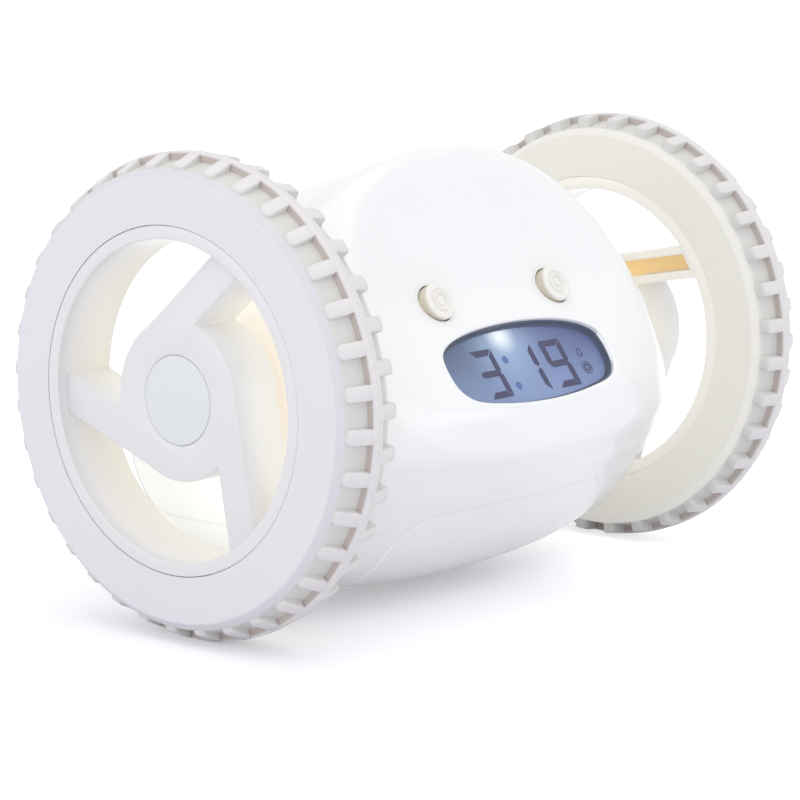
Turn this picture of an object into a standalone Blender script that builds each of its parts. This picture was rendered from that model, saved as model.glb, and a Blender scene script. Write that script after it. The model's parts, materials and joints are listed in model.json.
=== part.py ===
"""Rolling alarm clock.

An egg shaped body hangs on the axle line between two large driven wheels.
Lengths below are millimetres measured from the axle line: X runs along the
axle, the face looks to -Y and leans back, +Z is up. Left is -X.
"""
import bpy
import bmesh
from math import pi, sin, cos, tan, acos, radians, sqrt, hypot, atan2
from mathutils import Matrix, Vector

for old in list(bpy.data.objects):
    bpy.data.objects.remove(old, do_unlink=True)

# Driving sizes
MM = 0.001
AXLE_HEIGHT = 44.0
GAP = 0.3
WHEEL_OUTER_FACE = 67.74
WHEEL_INNER_FACE = 54.49
RIM_OUTER_R = 31.1
RIM_INNER_R = 28.8
TYRE_SEAT_R = 31.4
TYRE_FACE_R = 39.8
TYRE_BASE_R = 42.2
TYRE_RIB_R = 44.0
LUG_TOP_R = 43.7
LUGS_PER_SIDE = 36
LUG_WIDTH = 2.8
HUB_R = 14.6
SPOKE_INNER_OFFSET = -7.7
SPOKE_OUTER_OFFSET = -14.4
SPOKE_WALL = 1.7
CAP_R = 7.85
SHAFT_R = 2.0
SHAFT_INNER_END = 32.6
SHAFT_OUTER_END = 63.0
SHAFT_COVER = 2.6
HUB_FACE = SHAFT_OUTER_END + SHAFT_COVER
BODY_Y = 3.0
BODY_Z = -3.0
BODY_HALF = 48.0
BODY_TAPER = 58.0
WALL = 1.8
PARTING_Z = -25.0
DOOR_BACK = 23.2
DOOR_HALF = 30.4
DOOR_CORNER = 7.0
FACE_LEAN = 28.0
FACE_DIST = 25.0
SCREEN_LEAN = 37.0
SCREEN_DIST = 23.8
BUTTON_X = 17.23
BUTTON_UP = 3.58
BUTTON_OUT = 22.75
BUTTON_R = 3.6
BUTTON_FLANGE = 0.7
BUTTON_STAND = 2.1
BUTTON_Y = BUTTON_UP * sin(radians(FACE_LEAN)) - BUTTON_OUT * cos(radians(FACE_LEAN))
BUTTON_Z = BUTTON_UP * cos(radians(FACE_LEAN)) + BUTTON_OUT * sin(radians(FACE_LEAN))
CELL_R = 5.25
CELL_HALF = 22.25
MODULE = 0.6
FINAL_TEETH = 38
IDLER_TEETH = 34
SMALL_TEETH = 10
IDLER_AT = (13.55, -4.95)
MOTOR_AT = (6.1, -15.85)
POSTS = [(-9.5, -12.5), (11.5, 8.8), (25.5, -11.0)]
SCREW_POSTS = [POSTS[0], POSTS[2]]
BOSSES = [(44.2, 21.5)]

scene = bpy.context.scene


def material(name, rgb, rough, metal=0.0, alpha=1.0):
    made = bpy.data.materials.new(name)
    made.use_nodes = True
    node = made.node_tree.nodes["Principled BSDF"]
    node.inputs["Base Color"].default_value = (rgb[0], rgb[1], rgb[2], 1.0)
    node.inputs["Roughness"].default_value = rough
    node.inputs["Metallic"].default_value = metal
    node.inputs["Alpha"].default_value = alpha
    return made


SHELL_WHITE = material("gloss_white_plastic", (0.86, 0.86, 0.87), 0.15)
WHEEL_WHITE = material("wheel_plastic", (0.80, 0.80, 0.82), 0.3)
CREAM = material("cream_plastic", (0.79, 0.77, 0.70), 0.35)
RUBBER = material("soft_tyre", (0.72, 0.71, 0.75), 0.6)
CLEAR = material("clear_window", (0.60, 0.68, 0.85), 0.05, 0.0, 0.35)
LCD = material("lcd_glass", (0.16, 0.20, 0.48), 0.15)
DIFFUSER = material("light_guide_plastic", (0.55, 0.65, 0.95), 0.4)
BLACK = material("black_plastic", (0.03, 0.03, 0.03), 0.5)
BOARD = material("board_laminate", (0.05, 0.25, 0.09), 0.5)
STEEL = material("bright_steel", (0.62, 0.63, 0.65), 0.3, 1.0)
BRASS = material("turned_brass", (0.72, 0.52, 0.20), 0.3, 1.0)
NATURAL = material("natural_gear_plastic", (0.78, 0.76, 0.68), 0.45)
CELL_SKIN = material("cell_sleeve", (0.30, 0.31, 0.34), 0.35, 0.6)
RED_WIRE = material("wire_insulation", (0.45, 0.04, 0.04), 0.5)
SPRING = material("nickel_contact", (0.70, 0.69, 0.66), 0.25, 1.0)

ALONG_X = Matrix(((0, 0, 1, 0), (1, 0, 0, 0), (0, 1, 0, 0), (0, 0, 0, 1)))
ALONG_Y = Matrix(((1, 0, 0, 0), (0, 0, 1, 0), (0, -1, 0, 0), (0, 0, 0, 1)))
ALONG_Z = Matrix.Identity(4)


def leaning(degrees):
    """Local x to X, local y up the leaning plane, local z out of it."""
    t = radians(degrees)
    return Matrix(((1, 0, 0, 0), (0, sin(t), -cos(t), 0), (0, cos(t), sin(t), 0), (0, 0, 0, 1)))


SCREEN = leaning(SCREEN_LEAN)
FACE = leaning(FACE_LEAN)


def build(name, points, faces, mat, place=ALONG_Z):
    mesh = bpy.data.meshes.new(name)
    moved = [place @ Vector(p) for p in points]
    mesh.from_pydata([(p.x * MM, p.y * MM, (p.z + AXLE_HEIGHT) * MM) for p in moved], [], faces)
    mesh.materials.append(mat)
    work = bmesh.new()
    work.from_mesh(mesh)
    bmesh.ops.recalc_face_normals(work, faces=work.faces)
    work.to_mesh(mesh)
    work.free()
    made = bpy.data.objects.new(name, mesh)
    scene.collection.objects.link(made)
    return made


def turned(name, profile, mat, place=ALONG_X, centre=(0, 0), count=32, ring=False, phase=0.0):
    """Turn (height, radius) points about the local z axis; ring closes the section on itself."""
    points = []
    rows = []
    for height, radius in profile:
        if radius == 0 and not ring:
            rows.append([len(points)])
            points.append((centre[0], centre[1], height))
            continue
        rows.append(list(range(len(points), len(points) + count)))
        for i in range(count):
            a = 2 * pi * i / count + phase
            points.append((centre[0] + radius * cos(a), centre[1] + radius * sin(a), height))
    faces = []
    pairs = list(zip(rows, rows[1:]))
    if ring:
        pairs.append((rows[-1], rows[0]))
    for low, high in pairs:
        for i in range(count):
            j = (i + 1) % count
            if len(low) == 1:
                faces.append((low[0], high[j], high[i]))
            elif len(high) == 1:
                faces.append((low[i], low[j], high[0]))
            else:
                faces.append((low[i], low[j], high[j], high[i]))
    return build(name, points, faces, mat, place)


def drum(name, radius, low, high, mat, place=ALONG_X, centre=(0, 0), count=32):
    return turned(name, [(low, 0), (low, radius), (high, radius), (high, 0)], mat, place, centre, count)


def prism(name, outline, low, high, mat, place=ALONG_X):
    count = len(outline)
    points = [(u, v, low) for u, v in outline] + [(u, v, high) for u, v in outline]
    faces = [tuple(range(count))[::-1], tuple(range(count, 2 * count))]
    for i in range(count):
        j = (i + 1) % count
        faces.append((i, j, count + j, count + i))
    return build(name, points, faces, mat, place)


def block(name, x, y, z, mat, place=ALONG_Z):
    return prism(name, [(x[0], y[0]), (x[1], y[0]), (x[1], y[1]), (x[0], y[1])], z[0], z[1], mat, place)


def settle(target):
    graph = bpy.context.evaluated_depsgraph_get()
    graph.update()
    fresh = bpy.data.meshes.new_from_object(target.evaluated_get(graph))
    stale = target.data
    target.modifiers.clear()
    target.data = fresh
    fresh.name = target.name
    bpy.data.meshes.remove(stale)


def combine(target, other, how="DIFFERENCE", keep=False, solver="EXACT"):
    step = target.modifiers.new("step", "BOOLEAN")
    step.operation = how
    step.solver = solver
    step.object = other
    settle(target)
    if not keep:
        bpy.data.objects.remove(other, do_unlink=True)
    return target


def copy_of(source, name):
    made = bpy.data.objects.new(name, source.data.copy())
    made.data.name = name
    scene.collection.objects.link(made)
    return made


def finish(made, name, axis_point=None, sharp=35.0):
    """Clean the mesh, name it, shade it and put its origin on its joint axis."""
    work = bmesh.new()
    work.from_mesh(made.data)
    bmesh.ops.remove_doubles(work, verts=work.verts, dist=0.000002)
    bmesh.ops.dissolve_degenerate(work, edges=work.edges, dist=0.000002)
    bmesh.ops.recalc_face_normals(work, faces=work.faces)
    work.to_mesh(made.data)
    work.free()
    made.data.shade_smooth()
    made.data.set_sharp_from_angle(angle=radians(sharp))
    if axis_point is not None:
        at = Vector((axis_point[0], axis_point[1], axis_point[2] + AXLE_HEIGHT)) * MM
        made.data.transform(Matrix.Translation(-at))
        made.location = at
    made.name = name
    made.data.name = name
    return made


def hull(circles, per=8):
    """Outline of the smallest convex plate round a few circles."""
    points = []
    for cx, cy, r in circles:
        for i in range(per):
            a = 2 * pi * i / per
            points.append((round(cx + r * cos(a), 4), round(cy + r * sin(a), 4)))
    points = sorted(set(points))

    def half(row):
        kept = []
        for p in row:
            while len(kept) > 1 and ((kept[-1][0] - kept[-2][0]) * (p[1] - kept[-2][1])
                                     - (kept[-1][1] - kept[-2][1]) * (p[0] - kept[-2][0])) <= 0:
                kept.pop()
            kept.append(p)
        return kept[:-1]

    return half(points) + half(points[::-1])


def span(side, low, high):
    return (side * low, side * high) if side > 0 else (side * high, side * low)


# Barrel of the body
SECTION = [(0, 39.4), (35, 39.0), (60, 39.2), (78, 39.8), (90, 41.2), (102, 45.2), (118, 44.6),
           (140, 42.0), (165, 38.8), (187, 38.2), (195, 37.9), (200, 36.9), (206, 36.0), (220, 35.6),
           (245, 39.0), (270, 39.3), (300, 39.4), (330, 39.4)]


def section_radius(degrees):
    """Smooth closed curve through SECTION."""
    a = degrees % 360.0
    n = len(SECTION)
    for i in range(n):
        a0 = SECTION[i][0]
        a1 = SECTION[(i + 1) % n][0] + (360 if i == n - 1 else 0)
        if a0 <= a <= a1:
            break
    am = SECTION[(i - 1) % n][0] - (360 if i == 0 else 0)
    ap = SECTION[(i + 2) % n][0] + (360 if i + 2 >= n else 0)
    r = [SECTION[(i + k) % n][1] for k in (-1, 0, 1, 2)]
    slope0 = (r[2] - r[0]) / (a1 - am)
    slope1 = (r[3] - r[1]) / (ap - a0)
    h = a1 - a0
    t = (a - a0) / h
    return (r[1] * (1 + 2 * t) * (1 - t) ** 2 + slope0 * h * t * (1 - t) ** 2
            + r[2] * t * t * (3 - 2 * t) + slope1 * h * t * t * (t - 1))


def body_radius(x, degrees):
    lift = (sin(radians(degrees)) + 0.45) / 1.3
    if lift < 0.15:
        lift = max(lift + 0.15, 0.0) ** 2 / 0.6
    elif lift > 0.85:
        lift = 1 - max(1.15 - lift, 0.0) ** 2 / 0.6
    power = lift / 1.55 + (1 - lift) / 4.8
    return section_radius(degrees) * (1 - (abs(x) / BODY_TAPER) ** 2.17) ** power


def inset_radius(x, degrees, inset):
    if inset == 0:
        return body_radius(x, degrees)
    r = body_radius(x, degrees)
    along = (body_radius(x + 0.2, degrees) - body_radius(x - 0.2, degrees)) / 0.4
    around = (body_radius(x, degrees + 1) - body_radius(x, degrees - 1)) / (2 * radians(1)) / r
    return r - inset * sqrt(1 + along * along + around * around)


def barrel(name, inset, stations, count):
    reach = BODY_HALF - inset
    points = []
    for k in range(stations):
        x = reach * sin(pi / 2 * (2 * k / (stations - 1) - 1))
        for i in range(count):
            a = 360.0 * i / count
            r = inset_radius(x, a, inset)
            points.append((x, BODY_Y + r * cos(radians(a)), BODY_Z + r * sin(radians(a))))
    faces = [tuple(range(count)), tuple(range((stations - 1) * count, stations * count))[::-1]]
    for k in range(stations - 1):
        for i in range(count):
            j = (i + 1) % count
            faces.append((k * count + i, k * count + j, (k + 1) * count + j, (k + 1) * count + i))
    return build(name, points, faces, SHELL_WHITE)


# Sloping face: bulge from the leaning plane at the middle of the width, (height, shift in y)
BULGE = [(52.0, 0.0), (41.3, 0.0), (28.0, 1.5), (20.0, 2.4), (14.8, 2.6), (9.5, 0.75), (4.5, -0.56),
         (0.0, -1.45), (-4.6, -2.4), (-8.0, -0.9), (-11.5, 0.55), (-14.5, 0.9), (-18.0, -1.0)]


def face_y(x, z):
    plane = -(FACE_DIST - sin(radians(FACE_LEAN)) * z) / cos(radians(FACE_LEAN))
    side = min(max((abs(x) - 21.0) / 18.0, 0.0), 1.0)
    side = 1 - side * side * (3 - 2 * side)
    for (z1, s1), (z0, s0) in zip(BULGE, BULGE[1:]):
        if z >= z0:
            break
    t = (z - z0) / (z1 - z0)
    return plane + side * (s0 + (s1 - s0) * t)


def face_cutter(name, inset):
    half = [22, 25, 29, 33, 38, 60] if inset == 0 else [22, 27, 34, 60]
    columns = [-x for x in half[::-1]] + half
    rows = [52, 34, 24, 17.5, 14.8, 12.2, 9.5, 4.5, -4.6, -8, -11.5, -14.5, -18]
    if inset:
        rows = [52, 28, 20, 14.8, 9.5, 4.5, -4.6, -8, -14.5, -18]
    back = inset / cos(radians(FACE_LEAN))
    points = []
    for z in rows:
        for x in columns:
            points.append((x, face_y(x, z) + back, z))
    n = len(columns)
    total = len(points)
    points += [(x, -90.0, z) for z in rows for x in columns]
    faces = []
    for r in range(len(rows) - 1):
        for c in range(n - 1):
            a = r * n + c
            faces.append((a, a + 1, a + n + 1, a + n))
            faces.append((total + a, total + a + n, total + a + n + 1, total + a + 1))
    last = (len(rows) - 1) * n
    for c in range(n - 1):
        faces.append((c, total + c, total + c + 1, c + 1))
        faces.append((last + c, last + c + 1, total + last + c + 1, total + last + c))
    for r in range(len(rows) - 1):
        a = r * n
        faces.append((a, a + n, total + a + n, total + a))
        a = r * n + n - 1
        faces.append((a, total + a, total + a + n, a + n))
    return build(name, points, faces, SHELL_WHITE)


outer = barrel("outer", 0.0, 15, 48)
combine(outer, face_cutter("face_cut", 0.0))
middle = barrel("middle", 0.7, 9, 26)
combine(middle, face_cutter("face_cut", 0.7))
inner = barrel("inner", WALL, 9, 28)
combine(inner, face_cutter("face_cut", WALL))
shell = copy_of(outer, "shell")
combine(shell, inner, keep=True)
big = (-90, 90)

# Upper shell: hood, face and end walls in one moulding
upper = copy_of(shell, "upper_shell")
combine(upper, block("keep_top", big, big, (PARTING_Z + GAP / 2, 90), SHELL_WHITE), "INTERSECT")
for side in (-1, 1):
    for bx, by in BOSSES:
        boss = drum("boss", 2.6, PARTING_Z + GAP / 2, -17.2, SHELL_WHITE, ALONG_Z, (side * bx, by), 20)
        combine(boss, middle, "INTERSECT", keep=True)
        combine(upper, boss, "UNION")
        combine(upper, drum("pilot", 1.15, PARTING_Z - 1, -18.2, SHELL_WHITE, ALONG_Z, (side * bx, by), 12))
speaker_ring = turned("speaker_ring", [(28.0, 14.5), (28.0, 16.0), (42.0, 16.0), (42.0, 14.5)],
                      SHELL_WHITE, ALONG_Y, (0, -2.0), 24, ring=True)
combine(speaker_ring, middle, "INTERSECT", keep=True)
combine(upper, speaker_ring, "UNION")
for side in (-1, 1):
    rib = block("rib", (side * 7.9 - 0.8, side * 7.9 + 0.8), (29.8, 42.0), (-23.2, -17.2), SHELL_WHITE)
    combine(rib, middle, "INTERSECT", keep=True)
    combine(upper, rib, "UNION")
    combine(upper, drum("bush_hole", 3.8, side * 40, side * 52, SHELL_WHITE, ALONG_X, (0, 0), 32))
    for post in SCREW_POSTS:
        combine(upper, drum("screw_hole", 1.15, side * 45.5, side * 47.3, SHELL_WHITE, ALONG_X, post, 8))
    combine(upper, drum("button_hole", BUTTON_R + GAP, 14.0, 34.0, SHELL_WHITE, FACE,
                        (side * BUTTON_X, BUTTON_UP), 28))
for i in range(7):
    a = pi / 3 * i
    far = 0.0 if i == 6 else 6.5
    combine(upper, drum("sound_hole", 1.3, 33.0, 50.0, SHELL_WHITE, ALONG_Y,
                        (far * cos(a), -2.0 + far * sin(a)), 8))
combine(upper, block("slot", (-3.4, 3.4), (34.0, 50.0), (-21.6, -18.4), SHELL_WHITE))

# Window outline on the screen plane: across, up
HALF_WINDOW = [(0, -6.1), (6, -6.3), (12, -7.0), (17, -8.0), (20, -9.1), (21.6, -10.6), (22.3, -13.0),
               (22.4, -16.0), (21.9, -18.6), (20.6, -20.6), (18.2, -21.8), (14.0, -22.6), (8.0, -23.4),
               (0, -23.7)]
WINDOW = HALF_WINDOW + [(-u, v) for u, v in HALF_WINDOW[-2:0:-1]]


def shrink(outline, by):
    """Move every point of a rounded outline inward."""
    cu = sum(p[0] for p in outline) / len(outline)
    cv = sum(p[1] for p in outline) / len(outline)
    moved = []
    n = len(outline)
    for i in range(n):
        a = outline[i - 1]
        b = outline[(i + 1) % n]
        du = b[0] - a[0]
        dv = b[1] - a[1]
        size = hypot(du, dv)
        nu = -dv / size
        nv = du / size
        p = outline[i]
        if nu * (cu - p[0]) + nv * (cv - p[1]) < 0:
            nu = -nu
            nv = -nv
        moved.append((p[0] + by * nu, p[1] + by * nv))
    return moved


combine(upper, prism("window_cut", WINDOW, 16.0, 30.0, SHELL_WHITE, SCREEN))
combine(upper, block("panel_pocket", (-24.3, 24.3), (-24.3, -5.1), (12.0, 22.0), SHELL_WHITE, SCREEN))
combine(upper, block("frame_pocket", (-26.1, 26.1), (-25.4, -4.0), (12.0, 21.3), SHELL_WHITE, SCREEN))
finish(upper, "upper_shell", sharp=30)


def door_plan(name, back, gap):
    """Block with the door's front outline, its two top corners rounded."""
    outline = []
    for way in (-1, 1):
        for k in range(6):
            a = pi / 2 * (k if way < 0 else 5 - k) / 5
            outline.append((way * (DOOR_HALF - DOOR_CORNER + (DOOR_CORNER + gap) * cos(a)),
                            -PARTING_Z - GAP / 2 + DOOR_CORNER - (DOOR_CORNER + gap) * sin(a)))
    outline += [(DOOR_HALF + gap, 90.0), (-DOOR_HALF - gap, 90.0)]
    return prism(name, outline, -90.0, back, SHELL_WHITE, ALONG_Y)


# Lower shell: the base below the parting line, open where the battery door goes
lower = copy_of(shell, "lower_shell")
combine(lower, block("keep_low", big, big, (-90, PARTING_Z - GAP / 2), SHELL_WHITE), "INTERSECT")
door = copy_of(lower, "battery_door")
combine(lower, door_plan("door_gap", DOOR_BACK + GAP, GAP))
for side in (-1, 1):
    for bx, by in BOSSES:
        tube = drum("tube", 3.3, -60.0, PARTING_Z - GAP / 2, SHELL_WHITE, ALONG_Z, (side * bx, by), 20)
        combine(tube, middle, "INTERSECT", keep=True)
        combine(lower, tube, "UNION")
        combine(lower, drum("sink", 2.35, -60.0, -27.2, SHELL_WHITE, ALONG_Z, (side * bx, by), 16))
        combine(lower, drum("pass", 1.25, -40.0, -20.0, SHELL_WHITE, ALONG_Z, (side * bx, by), 12))
finish(lower, "lower_shell", sharp=30)

# Battery door with a latch tongue that reaches in over the base
combine(door, door_plan("door_keep", DOOR_BACK, 0.0), "INTERSECT")
tongue = block("tongue", (-7.0, 7.0), (20.6, 25.4), (-32.8, -31.6), SHELL_WHITE)
stem = block("stem", (-7.0, 7.0), (20.8, 22.5), (-40.0, -32.0), SHELL_WHITE)
combine(stem, middle, "INTERSECT", keep=True)
combine(tongue, stem, "UNION")
combine(door, tongue, "UNION")
finish(door, "battery_door", sharp=30)

# Display stack behind the window
finish(prism("display_lens", shrink(WINDOW, 0.3), 22.05, 23.5, CLEAR, SCREEN), "display_lens")
finish(block("lcd_panel", (-24.0, 24.0), (-24.0, -5.4), (19.5, 21.7), LCD, SCREEN), "lcd_panel")
display_frame = block("display_frame", (-25.8, 25.8), (-25.1, -4.3), (15.3, 21.0), BLACK, SCREEN)
combine(display_frame, block("frame_cut", (-24.3, 24.3), (-24.3, -5.1), (10, 30), BLACK, SCREEN))
finish(display_frame, "display_frame")
finish(block("light_guide", (-23.0, 23.0), (-21.6, -7.8), (17.2, 19.2), DIFFUSER, SCREEN), "light_guide")
finish(block("zebra_strip", (-20, 20), (-24.0, -22.0), (15.3, 19.2), BLACK, SCREEN), "zebra_strip")

# Main board with its chip, and the two tact switches
board = block("main_board", (-29.0, 29.0), (-27.0, 6.5), (13.4, 15.0), BOARD, SCREEN)
combine(board, block("chip", (-6, 6), (-17.0, -9.0), (12.2, 14.0), BOARD, SCREEN), "UNION")
finish(board, "main_board")
for side, tag in ((-1, "left"), (1, "right")):
    switch = block("switch", (side * BUTTON_X - 3, side * BUTTON_X + 3), (-2.4, 3.6), (15.3, 17.1), BLACK,
                   SCREEN)
    combine(switch, drum("plunger", 1.7, 16.7, 17.85, BLACK, SCREEN, (side * BUTTON_X, 0.6), 16), "UNION")
    finish(switch, "tact_switch_" + tag)

# Speaker behind the sound holes
finish(turned("speaker", [(25.5, 0), (25.5, 7.0), (29.0, 7.0), (29.4, 12.0), (31.0, 14.1), (33.2, 14.1),
                          (33.2, 12.6), (31.6, 9.0), (31.6, 0)], BLACK, ALONG_Y, (0, -2.0), 24), "speaker")

# Four cells on an arc inside the door
CELL_ANGLES = [228.0, 249.0, 270.0, 291.0]


def cell_radius(degrees):
    return min(inset_radius(CELL_HALF + 1, degrees + d, WALL) for d in (-10, 0, 10)) - 0.5 - CELL_R


def cell_centre(index):
    r = cell_radius(CELL_ANGLES[index])
    a = radians(CELL_ANGLES[index])
    return (BODY_Y + r * cos(a), BODY_Z + r * sin(a))


for i in range(4):
    up = 1 if i % 2 == 0 else -1
    profile = [(-CELL_HALF, 0), (-CELL_HALF, 4.6), (-CELL_HALF + 0.4, CELL_R), (CELL_HALF - 0.5, CELL_R),
               (CELL_HALF, 4.7), (CELL_HALF, 1.9), (CELL_HALF + 0.8, 1.9), (CELL_HALF + 0.8, 0)]
    cell = turned("cell", [(up * h, q) for h, q in profile], CELL_SKIN, ALONG_X, cell_centre(i), 16)
    finish(cell, "battery_cell_%d" % (i + 1))


def contact(name, side, members):
    """Nickel strip at one end of one or two cells: a coned spring at a minus end, a dimple at a plus end."""
    strip = prism("strip", hull([cell_centre(i) + (3.2,) for i in members]), *span(side, 25.2, 25.7), SPRING)
    for i in members:
        plus = (i % 2 == 0) == (side > 0)
        nose_end, nose_r = (23.4, 1.6) if plus else (22.6, 2.0)
        shape = [(25.4, 0), (25.4, 3.0), (nose_end, nose_r), (nose_end, 0)]
        nose = turned("nose", [(side * h, q) for h, q in shape], SPRING, ALONG_X, cell_centre(i), 10)
        combine(strip, nose, "UNION")
    finish(strip, name)


def arc_band(low, high, start, stop, count):
    """Outline between two radii about the body centre, each a function of the angle."""
    angles = [start + (stop - start) * i / count for i in range(count + 1)]
    near = [(BODY_Y + low(a) * cos(radians(a)), BODY_Z + low(a) * sin(radians(a))) for a in angles]
    far = [(BODY_Y + high(a) * cos(radians(a)), BODY_Z + high(a) * sin(radians(a))) for a in angles]
    return near + far[::-1]


tray = prism("battery_tray", arc_band(lambda a: cell_radius(a) - CELL_R - 1.8,
                                      lambda a: cell_radius(a) - CELL_R - 0.4, 219, 300, 10),
             -27.5, 27.5, BLACK)
for side in (-1, 1):
    wall = prism("wall", arc_band(lambda a: cell_radius(a) - CELL_R - 1.2,
                                  lambda a: inset_radius(33.6, a, WALL) - 0.9, 220, 299.5, 10),
                 side * 26.0, side * 27.4, BLACK)
    combine(tray, wall, "UNION")
    foot = prism("foot", arc_band(lambda a: inset_radius(36.0, a, WALL) - 2.1,
                                  lambda a: inset_radius(36.0, a, WALL) - 0.75, 236, 297, 8),
                 side * 26.6, side * 36.0, BLACK)
    combine(tray, foot, "UNION")
finish(tray, "battery_tray")
contact("contact_link_front", -1, (0, 1))
contact("contact_link_back", -1, (2, 3))
contact("contact_plus", 1, (0,))
contact("contact_link_middle", 1, (1, 2))
contact("contact_minus", 1, (3,))


def gear_outline(teeth, tooth_at, centre):
    """Involute teeth thinned for running clearance; one tooth points to tooth_at (radians)."""
    pitch = teeth * MODULE / 2
    tip = pitch + 0.8 * MODULE
    root = pitch - 1.2 * MODULE
    base = pitch * cos(radians(20))
    roll = tan(radians(20)) - radians(20)
    half = pi / (2 * teeth) * 0.74

    def half_at(r):
        if r <= base:
            return half + roll
        press = acos(base / r)
        return half + roll - (tan(press) - press)

    levels = [root, base, tip] if root < base - 0.1 else [root, tip]
    outline = []
    for i in range(teeth):
        mid = tooth_at + 2 * pi * i / teeth
        for r in levels:
            outline.append((centre[0] + r * cos(mid - half_at(r)), centre[1] + r * sin(mid - half_at(r))))
        for r in levels[::-1]:
            outline.append((centre[0] + r * cos(mid + half_at(r)), centre[1] + r * sin(mid + half_at(r))))
    return outline


def towards(a, b):
    return atan2(b[1] - a[1], b[0] - a[0])


def drive(side, tag):
    """Motor, gears and plates at one end of the body."""
    axis = (0.0, 0.0)
    plate = hull([(p[0], p[1], 3.2) for p in POSTS] + [(0, 0, 6.0), (MOTOR_AT[0], MOTOR_AT[1], 6.5)])
    base = prism("base", plate, *span(side, 33.2, 35.2), WHEEL_WHITE)
    combine(base, drum("bore", SHAFT_R + 0.08, side * 30, side * 40, WHEEL_WHITE, ALONG_X, axis, 24))
    combine(base, drum("bore", 3.4, side * 30, side * 40, WHEEL_WHITE, ALONG_X, MOTOR_AT, 14))
    combine(base, drum("bore", 0.85, side * 30, side * 40, WHEEL_WHITE, ALONG_X, IDLER_AT, 10))
    for post in SCREW_POSTS:
        combine(base, drum("bore", 1.15, side * 30, side * 40, WHEEL_WHITE, ALONG_X, post, 8))
    finish(base, "gearbox_base_" + tag)
    cover = prism("cover", plate, *span(side, 44.5, 45.9), WHEEL_WHITE)
    for post in POSTS:
        combine(cover, drum("post", 2.0, side * 35.5, side * 45.0, WHEEL_WHITE, ALONG_X, post, 10), "UNION")
    for post in SCREW_POSTS:
        combine(cover, drum("bore", 1.15, side * 30, side * 50, WHEEL_WHITE, ALONG_X, post, 8))
    combine(cover, drum("bore", 3.8, side * 40, side * 50, WHEEL_WHITE, ALONG_X, axis, 24))
    combine(cover, drum("bore", 0.85, side * 40, side * 50, WHEEL_WHITE, ALONG_X, IDLER_AT, 10))
    finish(cover, "gearbox_cover_" + tag)
    finish(drum("pin", 0.8, side * 33.4, side * 45.7, STEEL, ALONG_X, IDLER_AT, 10), "idler_pin_" + tag)
    bush = [(44.7, SHAFT_R + 0.08), (44.7, 3.5), (48.3, 3.5), (48.3, 5.2), (49.4, 5.2), (49.4, SHAFT_R + 0.08)]
    finish(turned("bush", [(side * h, q) for h, q in bush], BRASS, ALONG_X, axis, 24, ring=True),
           "axle_bush_" + tag)
    # Motor can with two flats, its front boss bored for the shaft
    flat = []
    for i in range(28):
        a = 2 * pi * i / 28
        flat.append((MOTOR_AT[0] + 10.0 * cos(a), MOTOR_AT[1] + max(min(10.0 * sin(a), 7.5), -7.5)))
    can = prism("can", flat, *span(side, 8.0, 32.9), STEEL)
    combine(can, drum("boss", 3.0, side * 30, side * 34.4, STEEL, ALONG_X, MOTOR_AT, 14), "UNION")
    combine(can, drum("bore", 1.08, side * 22, side * 40, STEEL, ALONG_X, MOTOR_AT, 12))
    finish(can, "motor_" + tag)
    at = (side * 36.0, MOTOR_AT[0], MOTOR_AT[1])
    finish(drum("rotor", 1.0, side * 22.4, side * 40.4, STEEL, ALONG_X, MOTOR_AT, 12),
           "motor_shaft_" + tag, at)
    # Pinion on the motor shaft, in mesh with the large idler wheel
    face_idler = towards(MOTOR_AT, IDLER_AT)
    pinion = prism("pinion", gear_outline(SMALL_TEETH, face_idler, MOTOR_AT), *span(side, 36.9, 39.9), BRASS)
    combine(pinion, drum("bore", 1.05, side * 30, side * 50, BRASS, ALONG_X, MOTOR_AT, 12))
    finish(pinion, "pinion_" + tag, at)
    # Two-step idler
    big_phase = towards(IDLER_AT, MOTOR_AT) + pi / IDLER_TEETH
    idler = prism("idler", gear_outline(IDLER_TEETH, big_phase, IDLER_AT), *span(side, 37.2, 39.6), NATURAL)
    small_phase = towards(IDLER_AT, axis)
    step = prism("step", gear_outline(SMALL_TEETH, small_phase, IDLER_AT), *span(side, 39.0, 44.1), NATURAL)
    combine(idler, step, "UNION")
    combine(idler, drum("collar", 2.0, side * 35.6, side * 38.0, NATURAL, ALONG_X, IDLER_AT, 12), "UNION")
    combine(idler, drum("bore", 0.87, side * 30, side * 50, NATURAL, ALONG_X, IDLER_AT, 10))
    finish(idler, "idler_gear_" + tag, (side * 40.0, IDLER_AT[0], IDLER_AT[1]))
    # Final gear on the axle shaft
    final_phase = towards(axis, IDLER_AT) + pi / FINAL_TEETH
    final = prism("final", gear_outline(FINAL_TEETH, final_phase, axis), *span(side, 40.6, 43.9), NATURAL)
    combine(final, drum("hub", 3.6, side * 35.8, side * 41.5, NATURAL, ALONG_X, axis, 14), "UNION")
    combine(final, drum("bore", SHAFT_R + 0.05, side * 30, side * 50, NATURAL, ALONG_X, axis, 24))
    finish(final, "final_gear_" + tag, (side * 42.0, 0, 0))
    for number, post in enumerate(SCREW_POSTS):
        profile = [(31.4, 0), (31.4, 1.5), (31.7, 1.9), (32.9, 1.9), (32.9, 0.9), (47.0, 0.9), (47.0, 0)]
        screw = turned("screw", [(side * h, q) for h, q in profile], STEEL, ALONG_X, post, 8)
        finish(screw, "gearbox_screw_%s_%d" % (tag, number + 1))


drive(-1, "left")
drive(1, "right")

for side, tag in ((-1, "left"), (1, "right")):
    for bx, by in BOSSES:
        screw = turned("screw", [(-28.9, 0), (-28.9, 1.6), (-28.6, 2.0), (-27.5, 2.0), (-27.5, 0.9),
                                 (-18.6, 0.9), (-18.6, 0)], STEEL, ALONG_Z, (side * bx, by), 8)
        finish(screw, "case_screw_" + tag)

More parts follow.
